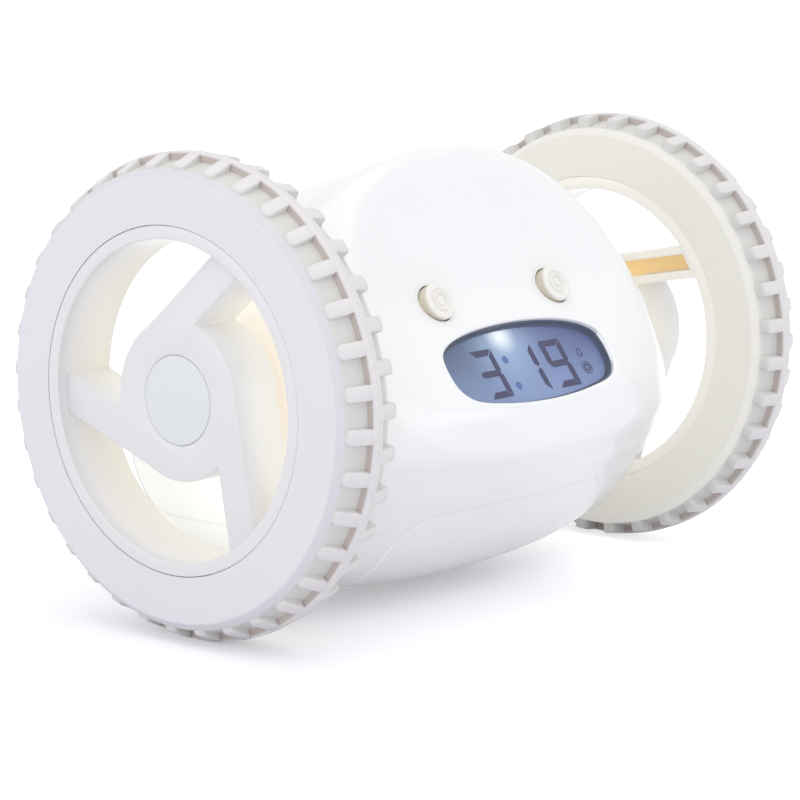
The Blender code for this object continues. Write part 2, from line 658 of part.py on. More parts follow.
# Slide switch at the back
finish(block("switch_body", (-6.6, 6.6), (29.3, 33.7), (-22.9, -17.5), BLACK), "mode_switch_body")
knob = block("knob", (-3.0, 0.0), (34.3, 39.4), (-21.2, -18.8), BLACK)
combine(knob, block("knob_foot", (-6.4, 3.4), (34.0, 34.9), (-21.9, -18.1), BLACK), "UNION")
finish(knob, "mode_switch_knob", (-1.5, 36.0, -20.0))


def button(side, name):
    """Cream cap with a retaining flange and a short stem over its tact switch."""
    wide = BUTTON_R + BUTTON_FLANGE
    profile = [(BUTTON_STAND, 0), (BUTTON_STAND, BUTTON_R - 0.9), (BUTTON_STAND - 0.3, BUTTON_R - 0.25),
               (BUTTON_STAND - 0.8, BUTTON_R), (-2.45, BUTTON_R), (-2.45, wide), (-3.3, wide), (-3.3, 1.2),
               (-3.7, 1.2), (-3.7, 0)]
    made = turned(name, [(BUTTON_OUT + h, q) for h, q in profile], CREAM, FACE,
                  (side * BUTTON_X, BUTTON_UP), 20)
    return finish(made, name, (side * BUTTON_X, BUTTON_Y, BUTTON_Z))


button(-1, "left_button")
button(1, "right_button")


def wire(path, radius=0.6):
    """Round insulated wire along a few straight runs."""
    count = 6
    points = []
    path = [Vector(p) for p in path]
    for i, p in enumerate(path):
        before = (p - path[i - 1]).normalized() if i else (path[1] - p).normalized()
        after = (path[i + 1] - p).normalized() if i < len(path) - 1 else before
        along = (before + after).normalized()
        a = along.cross(Vector((0.3, 0.2, 1.0))).normalized()
        b = along.cross(a).normalized()
        for k in range(count):
            points.append(p + a * radius * cos(2 * pi * k / count) + b * radius * sin(2 * pi * k / count))
    faces = [tuple(range(count))[::-1], tuple(range(len(points) - count, len(points)))]
    for i in range(len(path) - 1):
        for k in range(count):
            j = (k + 1) % count
            faces.append((i * count + k, i * count + j, (i + 1) * count + j, (i + 1) * count + k))
    return build("wire", points, faces, RED_WIRE)


harness = block("plug", (-6.5, 6.5), (-7.0, -2.0), (9.5, 13.1), RED_WIRE, SCREEN)
for side in (-1, 1):
    for step in (0.0, 4.0):
        lane = side * (4.4 - step / 3)
        run = wire([(side * 7.4, 3.0 + step, -14.0), (side * 5.6, 2.0 + step, -13.0),
                    (lane, -4.0, -3.0 + step / 2), (lane, -11.0, 2.6 + step / 5)])
        combine(harness, run, "UNION")
    combine(harness, wire([(side * 1.3, 25.0, 4.0), (side * 1.3, 20.0, 6.5), (side * 1.3, 0.0, 7.5),
                           (side * 1.3, -10.4, 4.4)]), "UNION")
    combine(harness, wire([(side * 28.5, -13.5, -17.0), (side * 28.0, -14.0, -12.0),
                           (side * 20.0, -12.4, -1.0), (side * 5.6, -11.4, 3.0)]), "UNION")
finish(harness, "wiring_harness")


def tyre(side, name, outer_phase, inner_phase):
    """Ring with a centre rib and a row of lugs on each side of it, one closed skin."""
    a = WHEEL_INNER_FACE
    b = WHEEL_OUTER_FACE
    m = (a + b) / 2
    section = [(b, TYRE_SEAT_R), (b, TYRE_FACE_R), (b - 1.2, 41.4), (m + 1.2, TYRE_BASE_R),
               (m + 0.9, TYRE_RIB_R), (m - 0.9, TYRE_RIB_R), (m - 1.2, TYRE_BASE_R), (a + 1.2, 41.4),
               (a, TYRE_FACE_R), (a, TYRE_SEAT_R)]
    made = turned(name, [(side * h, q) for h, q in section], RUBBER, ALONG_X, (0, 0), 60, ring=True)
    for phase, way in ((outer_phase, 1), (inner_phase, -1)):
        points = []
        faces = []
        for i in range(LUGS_PER_SIDE):
            mid = radians(phase + 360.0 * i / LUGS_PER_SIDE)
            first = len(points)
            profile = [(m + way * 0.5, 40.9), (m + way * 0.5, LUG_TOP_R - 0.02),
                       (m + way * 2.8, LUG_TOP_R - 0.2), (m + way * 5.0, LUG_TOP_R - 1.3),
                       (m + way * 5.8, 40.9)]
            for edge in (-1, 1):
                for h, q in profile:
                    width = LUG_WIDTH + 0.35 - 0.56 * (q - 40.9) / (LUG_TOP_R - 40.9)
                    swing = mid + edge * width / 2 / q
                    points.append((side * h, q * cos(swing), q * sin(swing)))
            n = len(profile)
            faces.append(tuple(range(first, first + n)))
            faces.append(tuple(range(first + n, first + 2 * n))[::-1])
            for k in range(n):
                j = (k + 1) % n
                faces.append((first + k, first + j, first + n + j, first + n + k))
        combine(made, build("lugs", points, faces, RUBBER), "UNION")
    return finish(made, name, (side * m, 0, 0), sharp=28)


def wheel(side, name, spoke_angles):
    """Rim band, hub and three tangential channel spokes in one moulding."""
    a = WHEEL_INNER_FACE
    b = WHEEL_OUTER_FACE
    m = (a + b) / 2
    rim = [(b, RIM_INNER_R), (b, RIM_OUTER_R), (a, RIM_OUTER_R), (a, RIM_INNER_R)]
    made = turned(name, [(side * h, q) for h, q in rim], WHEEL_WHITE, ALONG_X, (0, 0), 60, True,
                  radians(spoke_angles[0] + 1))

    def star(radius, low, high, reach):
        """Hub circle with one straight arm per spoke, tangent to it on one side."""
        start = atan2(high, sqrt(radius ** 2 - high ** 2))
        stop = atan2(low, sqrt(radius ** 2 - low ** 2)) + 2 * pi / len(spoke_angles)
        outline = []
        for angle in spoke_angles:
            turn = radians(angle)
            for u, v in ((sqrt(reach ** 2 - low ** 2), low), (sqrt(reach ** 2 - high ** 2), high)):
                outline.append((u * cos(turn) - v * sin(turn), u * sin(turn) + v * cos(turn)))
            for k in range(11):
                a1 = turn + start + (stop - start) * k / 10
                outline.append((radius * cos(a1), radius * sin(a1)))
        return outline

    web = prism("web", star(HUB_R, SPOKE_OUTER_OFFSET, SPOKE_INNER_OFFSET, RIM_INNER_R + 1.1),
                *span(side, a + 0.5, HUB_FACE), WHEEL_WHITE)
    hollow = prism("hollow", star(HUB_R - SPOKE_WALL, SPOKE_OUTER_OFFSET + SPOKE_WALL,
                                  SPOKE_INNER_OFFSET - SPOKE_WALL, RIM_INNER_R - 0.8),
                   *span(side, a - 2, HUB_FACE - SPOKE_WALL), WHEEL_WHITE)
    combine(web, hollow)
    combine(web, drum("boss", 4.4, side * (a + 0.5), side * (HUB_FACE - 0.9), WHEEL_WHITE), "UNION")
    combine(web, drum("cap_seat", CAP_R + GAP, side * (HUB_FACE - 1.3), side * (HUB_FACE + 5), WHEEL_WHITE,
                      count=40))
    combine(web, drum("bore", SHAFT_R + 0.05, side * 50, side * (SHAFT_OUTER_END + GAP), WHEEL_WHITE,
                      count=24))
    combine(made, web, "UNION", solver="MANIFOLD")
    finish(made, name, (side * m, 0, 0), sharp=30)


def wheel_set(side, tag, spoke_angles, outer_phase, inner_phase):
    wheel(side, "wheel_" + tag, spoke_angles)
    tyre(side, "tyre_" + tag, outer_phase, inner_phase)
    finish(turned("cap", [(side * h, q) for h, q in
                          [(HUB_FACE - 1.0, 0), (HUB_FACE - 1.0, CAP_R), (HUB_FACE - 0.15, CAP_R),
                           (HUB_FACE, CAP_R - 0.15), (HUB_FACE, 0)]], WHEEL_WHITE, ALONG_X, (0, 0), 36),
           "hub_cap_" + tag, (side * (HUB_FACE - 0.6), 0, 0))
    finish(turned("shaft", [(side * h, q) for h, q in
                            [(SHAFT_INNER_END, 0), (SHAFT_INNER_END, 1.7), (SHAFT_INNER_END + 0.3, SHAFT_R),
                             (SHAFT_OUTER_END - 0.3, SHAFT_R), (SHAFT_OUTER_END, 1.7), (SHAFT_OUTER_END, 0)]],
                  STEEL, ALONG_X, (0, 0), 24), "axle_shaft_" + tag, (side * 48.0, 0, 0))


wheel_set(-1, "left", (19.4, 139.4, 259.4), 2.4, 7.4)
wheel_set(1, "right", (49.7, 169.7, 289.7), 9.7, 4.7)

for scratch in (outer, middle, inner, shell):
    bpy.data.objects.remove(scratch, do_unlink=True)
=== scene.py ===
"""Looks for the rolling alarm clock: an egg shaped body slung between two driven wheels.

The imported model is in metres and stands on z 0. Sizes below are millimetres from the axle
line, which runs along X at 44 mm; the face looks to -Y and leans back, and left is -X.
"""
import bmesh
import bpy
import json
from math import atan2, cos, degrees, hypot, pi, radians, sin, sqrt, tan
from mathutils import Matrix, Vector

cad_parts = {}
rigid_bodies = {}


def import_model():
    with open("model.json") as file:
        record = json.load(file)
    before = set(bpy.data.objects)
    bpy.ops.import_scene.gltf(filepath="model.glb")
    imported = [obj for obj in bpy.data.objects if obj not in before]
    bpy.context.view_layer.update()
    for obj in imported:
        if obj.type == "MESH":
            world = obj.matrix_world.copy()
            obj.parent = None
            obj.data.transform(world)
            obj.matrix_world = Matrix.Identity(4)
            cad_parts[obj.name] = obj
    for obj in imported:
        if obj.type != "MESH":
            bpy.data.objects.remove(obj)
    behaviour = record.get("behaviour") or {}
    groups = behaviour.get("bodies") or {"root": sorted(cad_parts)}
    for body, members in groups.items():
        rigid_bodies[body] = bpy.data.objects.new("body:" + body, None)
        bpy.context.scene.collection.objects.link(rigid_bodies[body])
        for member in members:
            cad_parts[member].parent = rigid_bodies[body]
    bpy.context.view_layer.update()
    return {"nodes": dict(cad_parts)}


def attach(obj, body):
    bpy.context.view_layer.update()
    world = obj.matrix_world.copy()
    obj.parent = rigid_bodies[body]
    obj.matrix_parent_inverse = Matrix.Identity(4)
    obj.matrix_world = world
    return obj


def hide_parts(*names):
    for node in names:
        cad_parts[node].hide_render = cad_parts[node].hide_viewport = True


for leftover in list(bpy.data.objects):
    bpy.data.objects.remove(leftover, do_unlink=True)
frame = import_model()
nodes = frame["nodes"]
MM = 0.001
AXLE = 44.0


# Drive units, one at each end of the body.
# A can motor with a brass pinion, two acetal gears, a steel axle in a brass bush and two
# white moulded plates held by steel screws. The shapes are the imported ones.
class Reading:
    """A value in a finish; sums on it add Math nodes."""

    def __init__(self, finish, socket):
        self.finish = finish
        self.socket = socket

    def sum(self, how, first, second):
        return self.finish.node("ShaderNodeMath", {"operation": how}, {0: first, 1: second})

    def __add__(self, other):
        return self.sum("ADD", self, other)

    def __radd__(self, other):
        return self.sum("ADD", other, self)

    def __sub__(self, other):
        return self.sum("SUBTRACT", self, other)

    def __rsub__(self, other):
        return self.sum("SUBTRACT", other, self)

    def __mul__(self, other):
        return self.sum("MULTIPLY", self, other)

    def __rmul__(self, other):
        return self.sum("MULTIPLY", other, self)

    def __gt__(self, other):
        return self.sum("GREATER_THAN", self, other)


class Finish:
    """A material in the making, read in the piece's own coordinates."""

    def __init__(self, name):
        self.material = bpy.data.materials.new(name)
        self.material.use_nodes = True
        self.tree = self.material.node_tree
        self.shader = self.tree.nodes["Principled BSDF"]
        self.place = self.node("ShaderNodeTexCoord", {}, {}, "Object")

    def node(self, kind, settings, sockets, take=0):
        made = self.tree.nodes.new(kind)
        for key, value in settings.items():
            if key == "stops":
                ramp = made.color_ramp.elements
                while len(ramp) < len(value):
                    ramp.new(1.0)
                for stop, (spot, colour) in zip(ramp, value):
                    stop.position = spot
                    stop.color = colour
            else:
                setattr(made, key, value)
        for key, value in sockets.items():
            if isinstance(value, Reading):
                self.tree.links.new(value.socket, made.inputs[key])
            else:
                made.inputs[key].default_value = value
        return Reading(self, made.outputs[take])

    def noise(self, scale, detail=2.0, place=None):
        sockets = {"Vector": place or self.place, "Scale": scale, "Detail": detail}
        return self.node("ShaderNodeTexNoise", {}, sockets)

    def blend(self, mask, low, high):
        return self.node("ShaderNodeMix", {"data_type": "RGBA"}, {0: mask, 6: low, 7: high}, 2)

    def ramp(self, value, low, high):
        """0 to 1 as the value goes from low to high, eased at both ends."""
        return self.node("ShaderNodeMapRange", {"interpolation_type": "SMOOTHSTEP"},
                         {"Value": value, "From Min": low, "From Max": high})

    def axis(self, number, centre=0.0):
        """Distance in millimetres along one axis from a centre."""
        apart = self.node("ShaderNodeSeparateXYZ", {}, {"Vector": self.place}, number)
        return apart * (1 / MM) - centre

    def facing_across(self):
        """How far the surface looks along the axle line, from -1 to 1."""
        turned = self.node("ShaderNodeNewGeometry", {}, {}, "True Normal")
        return self.node("ShaderNodeSeparateXYZ", {}, {"Vector": turned}, 0)

    def reach(self, value):
        return self.node("ShaderNodeMath", {"operation": "ABSOLUTE"}, {0: value})

    def length(self, first, second):
        return self.node("ShaderNodeMath", {"operation": "SQRT"}, {0: first * first + second * second})

    def relief(self, height, depth, strength=1.0):
        sockets = {"Height": height, "Distance": depth * MM, "Strength": strength}
        self.feed("Normal", self.node("ShaderNodeBump", {}, sockets))

    def feed(self, socket, value):
        if isinstance(value, Reading):
            self.tree.links.new(value.socket, self.shader.inputs[socket])
        else:
            self.shader.inputs[socket].default_value = value


def rgb(r, g, b):
    return (r, g, b, 1.0)


def moulded(name, colour, rough, grain=700.0, grain_depth=0.01, drift=0.03, coat=0.0, end_painted_glow=0.0):
    """Moulded plastic: a slow drift in tone, a faint surface grain and uneven gloss.

    Walls that face along the axle line can be given a painted glow, lifting the shade they lie in.
    """
    finish = Finish(name)
    low = rgb(*[c * (1 - drift) for c in colour])
    high = rgb(*[min(1.0, c * (1 + drift)) for c in colour])
    finish.feed("Base Color", finish.blend(finish.noise(45.0, 3.0), low, high))
    finish.feed("Roughness", rough * 0.85 + rough * 0.3 * finish.noise(260.0))
    finish.feed("Coat Weight", coat)
    finish.feed("Coat Roughness", 0.05)
    # Painted light: walls that face along the axle line glow, which lifts their shade.
    if end_painted_glow:
        ends = finish.ramp(finish.reach(finish.facing_across()), 0.9, 0.97)
        finish.feed("Emission Color", finish.blend(ends, rgb(0.0, 0.0, 0.0), rgb(1.0, 0.98, 0.92)))
        finish.feed("Emission Strength", end_painted_glow)
    finish.relief(finish.noise(grain), grain_depth, 0.6)
    return finish.material


def brushed(name, colour, rough, stretch=(1.0, 1.0, 14.0), metal=1.0):
    """Turned or drawn metal with fine lines and a little tarnish."""
    finish = Finish(name)
    along = finish.node("ShaderNodeMapping", {}, {"Vector": finish.place, "Scale": stretch})
    lines = finish.noise(420.0, 2.0, along)
    dull = rgb(*[c * 0.88 for c in colour])
    finish.feed("Base Color", finish.blend(finish.noise(90.0, 3.0), dull, rgb(*colour)))
    finish.feed("Metallic", metal)
    finish.feed("Roughness", rough * 0.7 + rough * 0.6 * lines)
    finish.relief(lines, 0.008, 0.5)
    return finish.material


def dress(material, *starts):
    """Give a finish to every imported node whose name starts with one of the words."""
    for node_name, piece in nodes.items():
        if node_name.startswith(starts):
            piece.data.materials.clear()
            piece.data.materials.append(material)


dress(brushed("drawn_steel", (0.62, 0.63, 0.65), 0.3), "axle_shaft", "idler_pin", "motor",
      "gearbox_screw", "case_screw")
dress(brushed("turned_brass", (0.74, 0.54, 0.22), 0.28), "axle_bush", "pinion")
dress(moulded("natural_acetal", (0.78, 0.76, 0.68), 0.42), "idler_gear", "final_gear")
dress(moulded("gearbox_white", (0.78, 0.78, 0.79), 0.35, 600.0, 0.02, 0.02), "gearbox_base",
      "gearbox_cover")

# Power: four cells side by side along the front of the base.
# They lie in a black moulded tray between nickel strips, each coned to a spring at a minus end.
dress(brushed("cell_sleeve", (0.30, 0.31, 0.34), 0.35, (14.0, 1.0, 1.0), 0.6), "battery_cell")
dress(brushed("nickel_strip", (0.70, 0.69, 0.66), 0.25), "contact_")
black = moulded("black_moulding", (0.03, 0.03, 0.032), 0.5, 700.0, 0.02, 0.15)
dress(black, "battery_tray")

# Board, speaker, mode switch and wiring.
# The board is green glass laminate with darker tracks; its two tact switches sit behind the
# buttons. The switch knob and the speaker frame are black mouldings, the wires red.
laminate = Finish("green_laminate")
tracks = laminate.node("ShaderNodeTexBrick", {"offset": 0.3},
                       {"Vector": laminate.place, "Scale": 260.0, "Mortar Size": 0.06}, "Fac")
laminate.feed("Base Color", laminate.blend(tracks, rgb(0.03, 0.19, 0.07), rgb(0.10, 0.34, 0.13)))
laminate.feed("Roughness", 0.3 + 0.2 * laminate.noise(400.0))
laminate.relief(tracks, 0.03)
dress(laminate.material, "main_board")
dress(black, "display_frame", "tact_switch", "speaker", "mode_switch", "zebra_strip")
dress(moulded("diffusing_guide", (0.55, 0.65, 0.95), 0.4), "light_guide")
dress(moulded("wire_insulation", (0.45, 0.04, 0.04), 0.45, 700.0, 0.01, 0.08), "wiring_harness")

# White body mouldings.
# Upper shell, base and battery door are polished injection mouldings. All three come out of
# one surface: a barrel that tapers to its ends, cut by a leaning face with a dished forehead.
BODY_Y = 3.0
BODY_Z = -3.0
BODY_HALF = 48.0
BODY_TAPER = 58.0
END_ROUND = 1.5
WALL = 1.8
# Angle round the barrel from straight back over the top, and the radius there
SECTION = [(0, 39.4), (35, 39.0), (60, 39.2), (78, 39.8), (90, 41.2), (102, 45.2), (118, 44.6),
           (140, 42.0), (165, 38.8), (187, 38.2), (195, 37.9), (200, 36.9), (206, 36.0),
           (220, 35.6), (245, 39.0), (270, 39.3), (300, 39.4), (330, 39.4)]
# Height on the face, and how far its skin lies behind the leaning plane
BULGE = [(52.0, 0.0), (41.3, 0.0), (28.0, 1.5), (20.0, 2.4), (14.8, 2.6), (9.5, 0.75), (4.5, -0.56),
         (0.0, -1.45), (-4.6, -2.4), (-8.0, -0.9), (-11.5, 0.55), (-14.5, 0.9), (-18.0, -1.0)]
FACE_LEAN = radians(28)
FACE_DIST = 25.0
SCREEN_LEAN = radians(37)
SCREEN_DIST = 23.8


def ease(p0, p1, slope0, slope1, step, t):
    """Cubic from p0 to p1 over a step, with the slopes given at its ends."""
    return (p0 * (1 + 2 * t) * (1 - t) ** 2 + slope0 * step * t * (1 - t) ** 2
            + p1 * t * t * (3 - 2 * t) + slope1 * step * t * t * (t - 1))


def section_radius(degrees):
    """Smooth closed curve through SECTION."""
    n = len(SECTION)
    spots = [SECTION[k % n][0] + 360 * (k // n) for k in range(-1, n + 2)]
    radii = [SECTION[k % n][1] for k in range(-1, n + 2)]
    a = degrees % 360.0
    k = max(i for i in range(1, n + 1) if spots[i] <= a)
    slope0 = (radii[k + 1] - radii[k - 1]) / (spots[k + 1] - spots[k - 1])
    slope1 = (radii[k + 2] - radii[k]) / (spots[k + 2] - spots[k])
    step = spots[k + 1] - spots[k]
    return ease(radii[k], radii[k + 1], slope0, slope1, step, (a - spots[k]) / step)


def barrel_radius(x, degrees):
    lift = (sin(radians(degrees)) + 0.45) / 1.3
    if lift < 0.15:
        lift = max(lift + 0.15, 0.0) ** 2 / 0.6
    elif lift > 0.85:
        lift = 1 - max(1.15 - lift, 0.0) ** 2 / 0.6
    power = lift / 1.55 + (1 - lift) / 4.8
    return section_radius(degrees) * (1 - (abs(x) / BODY_TAPER) ** 2.17) ** power


def face_y(x, z):
    """How far back the face lies at a point across it and up it."""
    plane = -(FACE_DIST - sin(FACE_LEAN) * z) / cos(FACE_LEAN)
    side = min(max((abs(x) - 21.0) / 18.0, 0.0), 1.0)
    side = 1 - side * side * (3 - 2 * side)
    z = min(max(z, BULGE[-1][0]), BULGE[0][0])
    k = max(1, min(len(BULGE) - 1, sum(row[0] > z for row in BULGE)))
    rows = [BULGE[min(max(k + i, 0), len(BULGE) - 1)] for i in (1, 0, -1, -2)]
    slope0 = (rows[2][1] - rows[0][1]) / (rows[2][0] - rows[0][0])
    slope1 = (rows[3][1] - rows[1][1]) / (rows[3][0] - rows[1][0])
    step = rows[2][0] - rows[1][0]
    return plane + side * ease(rows[1][1], rows[2][1], slope0, slope1, step, (z - rows[1][0]) / step)


def face_radius(x, degrees):
    """Distance from the barrel's centre line to the face, or None where it looks another way."""
    if degrees < 78 or degrees > 212:
        return None
    c = cos(radians(degrees))
    s = sin(radians(degrees))
    low = 0.0
    high = 1.7
    while BODY_Y + high * c > face_y(x, BODY_Z + high * s):
        low = high
        high += 1.7
        if high > 66:
            return None
    for k in range(22):
        r = (low + high) / 2
        if BODY_Y + r * c < face_y(x, BODY_Z + r * s):
            high = r
        else:
            low = r
    return low


def skin_radius(x, degrees):
    """The nearer of barrel and face, with the corner where they cross rounded off."""
    r = barrel_radius(x, degrees)
    face = face_radius(x, degrees)
    if face is None:
        return r
    soft = 2.2 if degrees < 165 else 2.8
    near = max(soft - abs(r - face), 0.0) / soft
    return min(r, face) - near * near * soft / 4


def solid(name, points, faces):
    mesh = bpy.data.meshes.new(name)
    mesh.from_pydata([tuple(p) for p in points], [], faces)
    work = bmesh.new()
    work.from_mesh(mesh)
    bmesh.ops.recalc_face_normals(work, faces=work.faces)
    work.to_mesh(mesh)
    work.free()
    made = bpy.data.objects.new(name, mesh)
    bpy.context.scene.collection.objects.link(made)
    return made


def closed_skin(name, inset, stations, angles):
    """Closed solid over the whole body, rounded where it meets its two flat ends."""
    edge = END_ROUND if inset == 0 else 0.01
    points = []
    for x in stations:
        rim = max(abs(x) - (BODY_HALF - inset - edge), 0.0)
        drop = edge - sqrt(max(edge * edge - rim * rim, 0.0))
        for a in angles:
            r = skin_radius(x, a) - drop
            if inset:
                along = (barrel_radius(x + 0.2, a) - barrel_radius(x - 0.2, a)) / 0.4
                r -= inset * sqrt(1 + along * along) * 1.06
            points.append((x * MM, (BODY_Y + r * cos(radians(a))) * MM,
                           (BODY_Z + r * sin(radians(a)) + AXLE) * MM))
    n = len(angles)
    last = (len(stations) - 1) * n
    faces = [tuple(range(n)), tuple(range(last, last + n))[::-1]]
    for first in range(0, last, n):
        for i in range(n):
            j = (i + 1) % n
            faces.append((first + i, first + j, first + n + j, first + n + i))
    return solid(name, points, faces)


def bake_down(piece):
    """Turn a piece's modifiers into plain mesh."""
    graph = bpy.context.evaluated_depsgraph_get()
    graph.update()
    fresh = bpy.data.meshes.new_from_object(piece.evaluated_get(graph))
    piece.modifiers.clear()
    piece.data = fresh
    fresh.name = piece.name


def cut(piece, cutter, how="DIFFERENCE"):
    step = piece.modifiers.new("cut", "BOOLEAN")
    step.operation = how
    step.solver = "EXACT"
    step.object = cutter
    bake_down(piece)
    bpy.data.objects.remove(cutter, do_unlink=True)


def duplicate(piece, name):
    made = bpy.data.objects.new(name, piece.data.copy())
    bpy.context.scene.collection.objects.link(made)
    return made


def join(name, parts):
    work = bmesh.new()
    for part in parts:
        work.from_mesh(part.data)
        bpy.data.objects.remove(part, do_unlink=True)
    mesh = bpy.data.meshes.new(name)
    work.to_mesh(mesh)
    work.free()
    made = bpy.data.objects.new(name, mesh)
    bpy.context.scene.collection.objects.link(made)
    return made


# Local z points along world X, Y, Z or out of a leaning plane; lengths in millimetres
ALONG_Z = Matrix.Scale(MM, 4) @ Matrix.Translation((0, 0, AXLE))
ALONG_X = ALONG_Z @ Matrix(((0, 0, 1, 0), (1, 0, 0, 0), (0, 1, 0, 0), (0, 0, 0, 1)))
ALONG_Y = ALONG_Z @ Matrix(((1, 0, 0, 0), (0, 0, 1, 0), (0, -1, 0, 0), (0, 0, 0, 1)))


def leaning(t):
    rows = ((1, 0, 0, 0), (0, sin(t), -cos(t), 0), (0, cos(t), sin(t), 0), (0, 0, 0, 1))
    return ALONG_Z @ Matrix(rows)


SCREEN = leaning(SCREEN_LEAN)
FACE = leaning(FACE_LEAN)


def extrude(name, outline, low, high, place):
    n = len(outline)
    points = [place @ Vector((u, v, h)) for h in (low, high) for u, v in outline]
    faces = [tuple(range(n))[::-1], tuple(range(n, 2 * n))]
    faces += [(i, (i + 1) % n, n + (i + 1) % n, n + i) for i in range(n)]
    return solid(name, points, faces)


def slab(name, x, y, z):
    return extrude(name, [(x[0], y[0]), (x[1], y[0]), (x[1], y[1]), (x[0], y[1])], z[0], z[1], ALONG_Z)


def disc(r, count, cu=0.0, cv=0.0):
    return [(cu + r * cos(2 * pi * i / count), cv + r * sin(2 * pi * i / count)) for i in range(count)]


def shade(piece, material, sharp=32.0):
    piece.data.materials.clear()
    piece.data.materials.append(material)
    for polygon in piece.data.polygons:
        polygon.material_index = 0
    piece.data.shade_smooth()
    piece.data.set_sharp_from_angle(angle=radians(sharp))


def place_on(piece, body, slot, *stands_for):
    """Let a finished piece ride on its body in place of the nodes it stands for."""
    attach(piece, body)
    if stands_for:
        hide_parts(*stands_for)


# Past every piece on any side
BIG = 90.0
PARTING = -26.2
SEAM = 0.015
DOOR_TOP = -24.0
DOOR_HALF = 30.4
DOOR_CORNER = 7.0
DOOR_BACK = 23.2
DOOR_GAP = 0.03
# Times as wide down the door's two sides
SIDE_GAP = 3.0


def door_block(name, back, gap):
    """Block with the door's front outline, its two top corners rounded."""
    side_gap = SIDE_GAP * gap
    outline = []
    for k in (*range(10), *range(11, 21)):
        a = pi * k / 20
        way = 1 if k < 10 else -1
        outline.append((way * (DOOR_HALF - DOOR_CORNER) + (DOOR_CORNER + side_gap) * cos(a),
                        -DOOR_TOP + DOOR_CORNER - (DOOR_CORNER + gap) * sin(a)))
    outline += [(-DOOR_HALF - side_gap, BIG), (DOOR_HALF + side_gap, BIG)]
    return extrude(name, outline, -BIG, back, ALONG_Y)


end_stations = [BODY_HALF - END_ROUND + END_ROUND * sin(pi / 2 * k / 6) for k in range(1, 7)]
side_stations = [(BODY_HALF - END_ROUND) * (k / 72 - 1) for k in range(145)]
stations = [-x for x in end_stations[::-1]] + side_stations + end_stations
body_skin = closed_skin("body_skin", 0.0, stations, [a * 1.5 for a in range(240)])
inner_stations = [(BODY_HALF - WALL) * (k / 15 - 1) for k in range(31)]
cut(body_skin, closed_skin("hollow", WALL, inner_stations, [a * 5.0 for a in range(72)]))
# The end walls get a painted glow, which lifts the shade they lie in behind the wheels.
shell_white = moulded("polished_white_shell", (0.895, 0.902, 0.915), 0.24, 700.0, 0.004, 0.006,
                      coat=0.2, end_painted_glow=0.3)

# Upper shell: hood, face and both end walls in one moulding.
# It has a lip rolled down into the display window, two button holes, sound holes at the back
# and a slot for the mode switch.
WINDOW_HALF = [(0, -6.1), (6, -6.3), (12, -6.9), (17, -7.9), (20.3, -9.1), (22.6, -10.7), (23.4, -12.9),
               (23.4, -15.8), (22.7, -18.3), (20.9, -20.3), (18.0, -21.4), (14.0, -22.1), (8.0, -22.8),
               (0, -23.1)]
LIP_WIDE = 0.8
LIP_DEEP = 0.35
LIP_FOOT = 22.0
BUTTON_AT = (17.23, 3.58)
BUTTON_HOLE_R = 3.86
BUSH_HOLE_R = 3.8
SOUND_HOLE_R = 1.3
SOUND_RING = 6.5
SOUND_HEIGHT = -2.0
SLOT_HALF = 3.4
SLOT_LOW = -21.6
SLOT_HIGH = -18.4


def smooth_loop(points, steps):
    """Closed loop of points through the given ones, evened out."""
    n = len(points)
    made = []
    for i in range(n):
        p = [Vector(points[(i + k) % n]) for k in (-1, 0, 1, 2)]
        for k in range(steps):
            a = ease(p[1], p[2], (p[2] - p[0]) * 0.5, (p[3] - p[1]) * 0.5, 1.0, k / steps)
            made.append((a.x, a.y))
    return made


def inward(outline, by):
    """Every point of a rounded outline moved in."""
    n = len(outline)
    middle = Vector((sum(p[0] for p in outline), sum(p[1] for p in outline))) / n
    moved = []
    for i in range(n):
        along = Vector(outline[(i + 1) % n]) - Vector(outline[i - 1])
        way = Vector((-along.y, along.x)).normalized()
        spot = Vector(outline[i])
        if way.dot(middle - spot) < 0:
            way = -way
        spot += way * by
        moved.append((spot.x, spot.y))
    return moved


def face_above(u, s):
    """Height of the skin over the screen's own plane."""
    d = SCREEN_DIST
    for _ in range(8):
        y = s * sin(SCREEN_LEAN) - d * cos(SCREEN_LEAN) - BODY_Y
        z = s * cos(SCREEN_LEAN) + d * sin(SCREEN_LEAN) - BODY_Z
        d += skin_radius(u, degrees(atan2(z, y)) % 360.0) - hypot(y, z)
    return d


def strip(n, count):
    """Faces between neighbours of so many closed rows of n points."""
    return [(k * n + i, k * n + (i + 1) % n, (k + 1) * n + (i + 1) % n, (k + 1) * n + i)
            for k in range(count - 1) for i in range(n)]


def stitched(name, rows, place):
    """Open strip of faces through closed rows of points."""
    points = [place @ Vector(p) for row in rows for p in row]
    return solid(name, points, strip(len(rows[0]), len(rows)))


window = smooth_loop(WINDOW_HALF + [(-u, v) for u, v in WINDOW_HALF[-2:0:-1]], 5)
upper = duplicate(body_skin, "upper_shell_skin")
cut(upper, slab("keep", (-BIG, BIG), (-BIG, BIG), (PARTING + SEAM, BIG)), "INTERSECT")
cut(upper, door_block("gap", DOOR_BACK + DOOR_GAP, DOOR_GAP))
holes = [extrude("hole", inward(window, -LIP_WIDE), 17.0, 30.0, SCREEN)]
for side in (-1, 1):
    button_hole = disc(BUTTON_HOLE_R, 64, side * BUTTON_AT[0], BUTTON_AT[1])
    holes.append(extrude("hole", button_hole, 14.0, 34.0, FACE))
    holes.append(extrude("hole", disc(BUSH_HOLE_R, 48), *sorted((side * 42, side * 52)), ALONG_X))
for i in range(7):
    far = 0.0 if i == 6 else SOUND_RING
    at = (far * cos(pi / 3 * i), SOUND_HEIGHT + far * sin(pi / 3 * i))
    holes.append(extrude("hole", disc(SOUND_HOLE_R, 24, *at), 33, 50, ALONG_Y))
holes.append(slab("hole", (-SLOT_HALF, SLOT_HALF), (34, 50), (SLOT_LOW, SLOT_HIGH)))
cut(upper, join("holes", holes))
rows = []
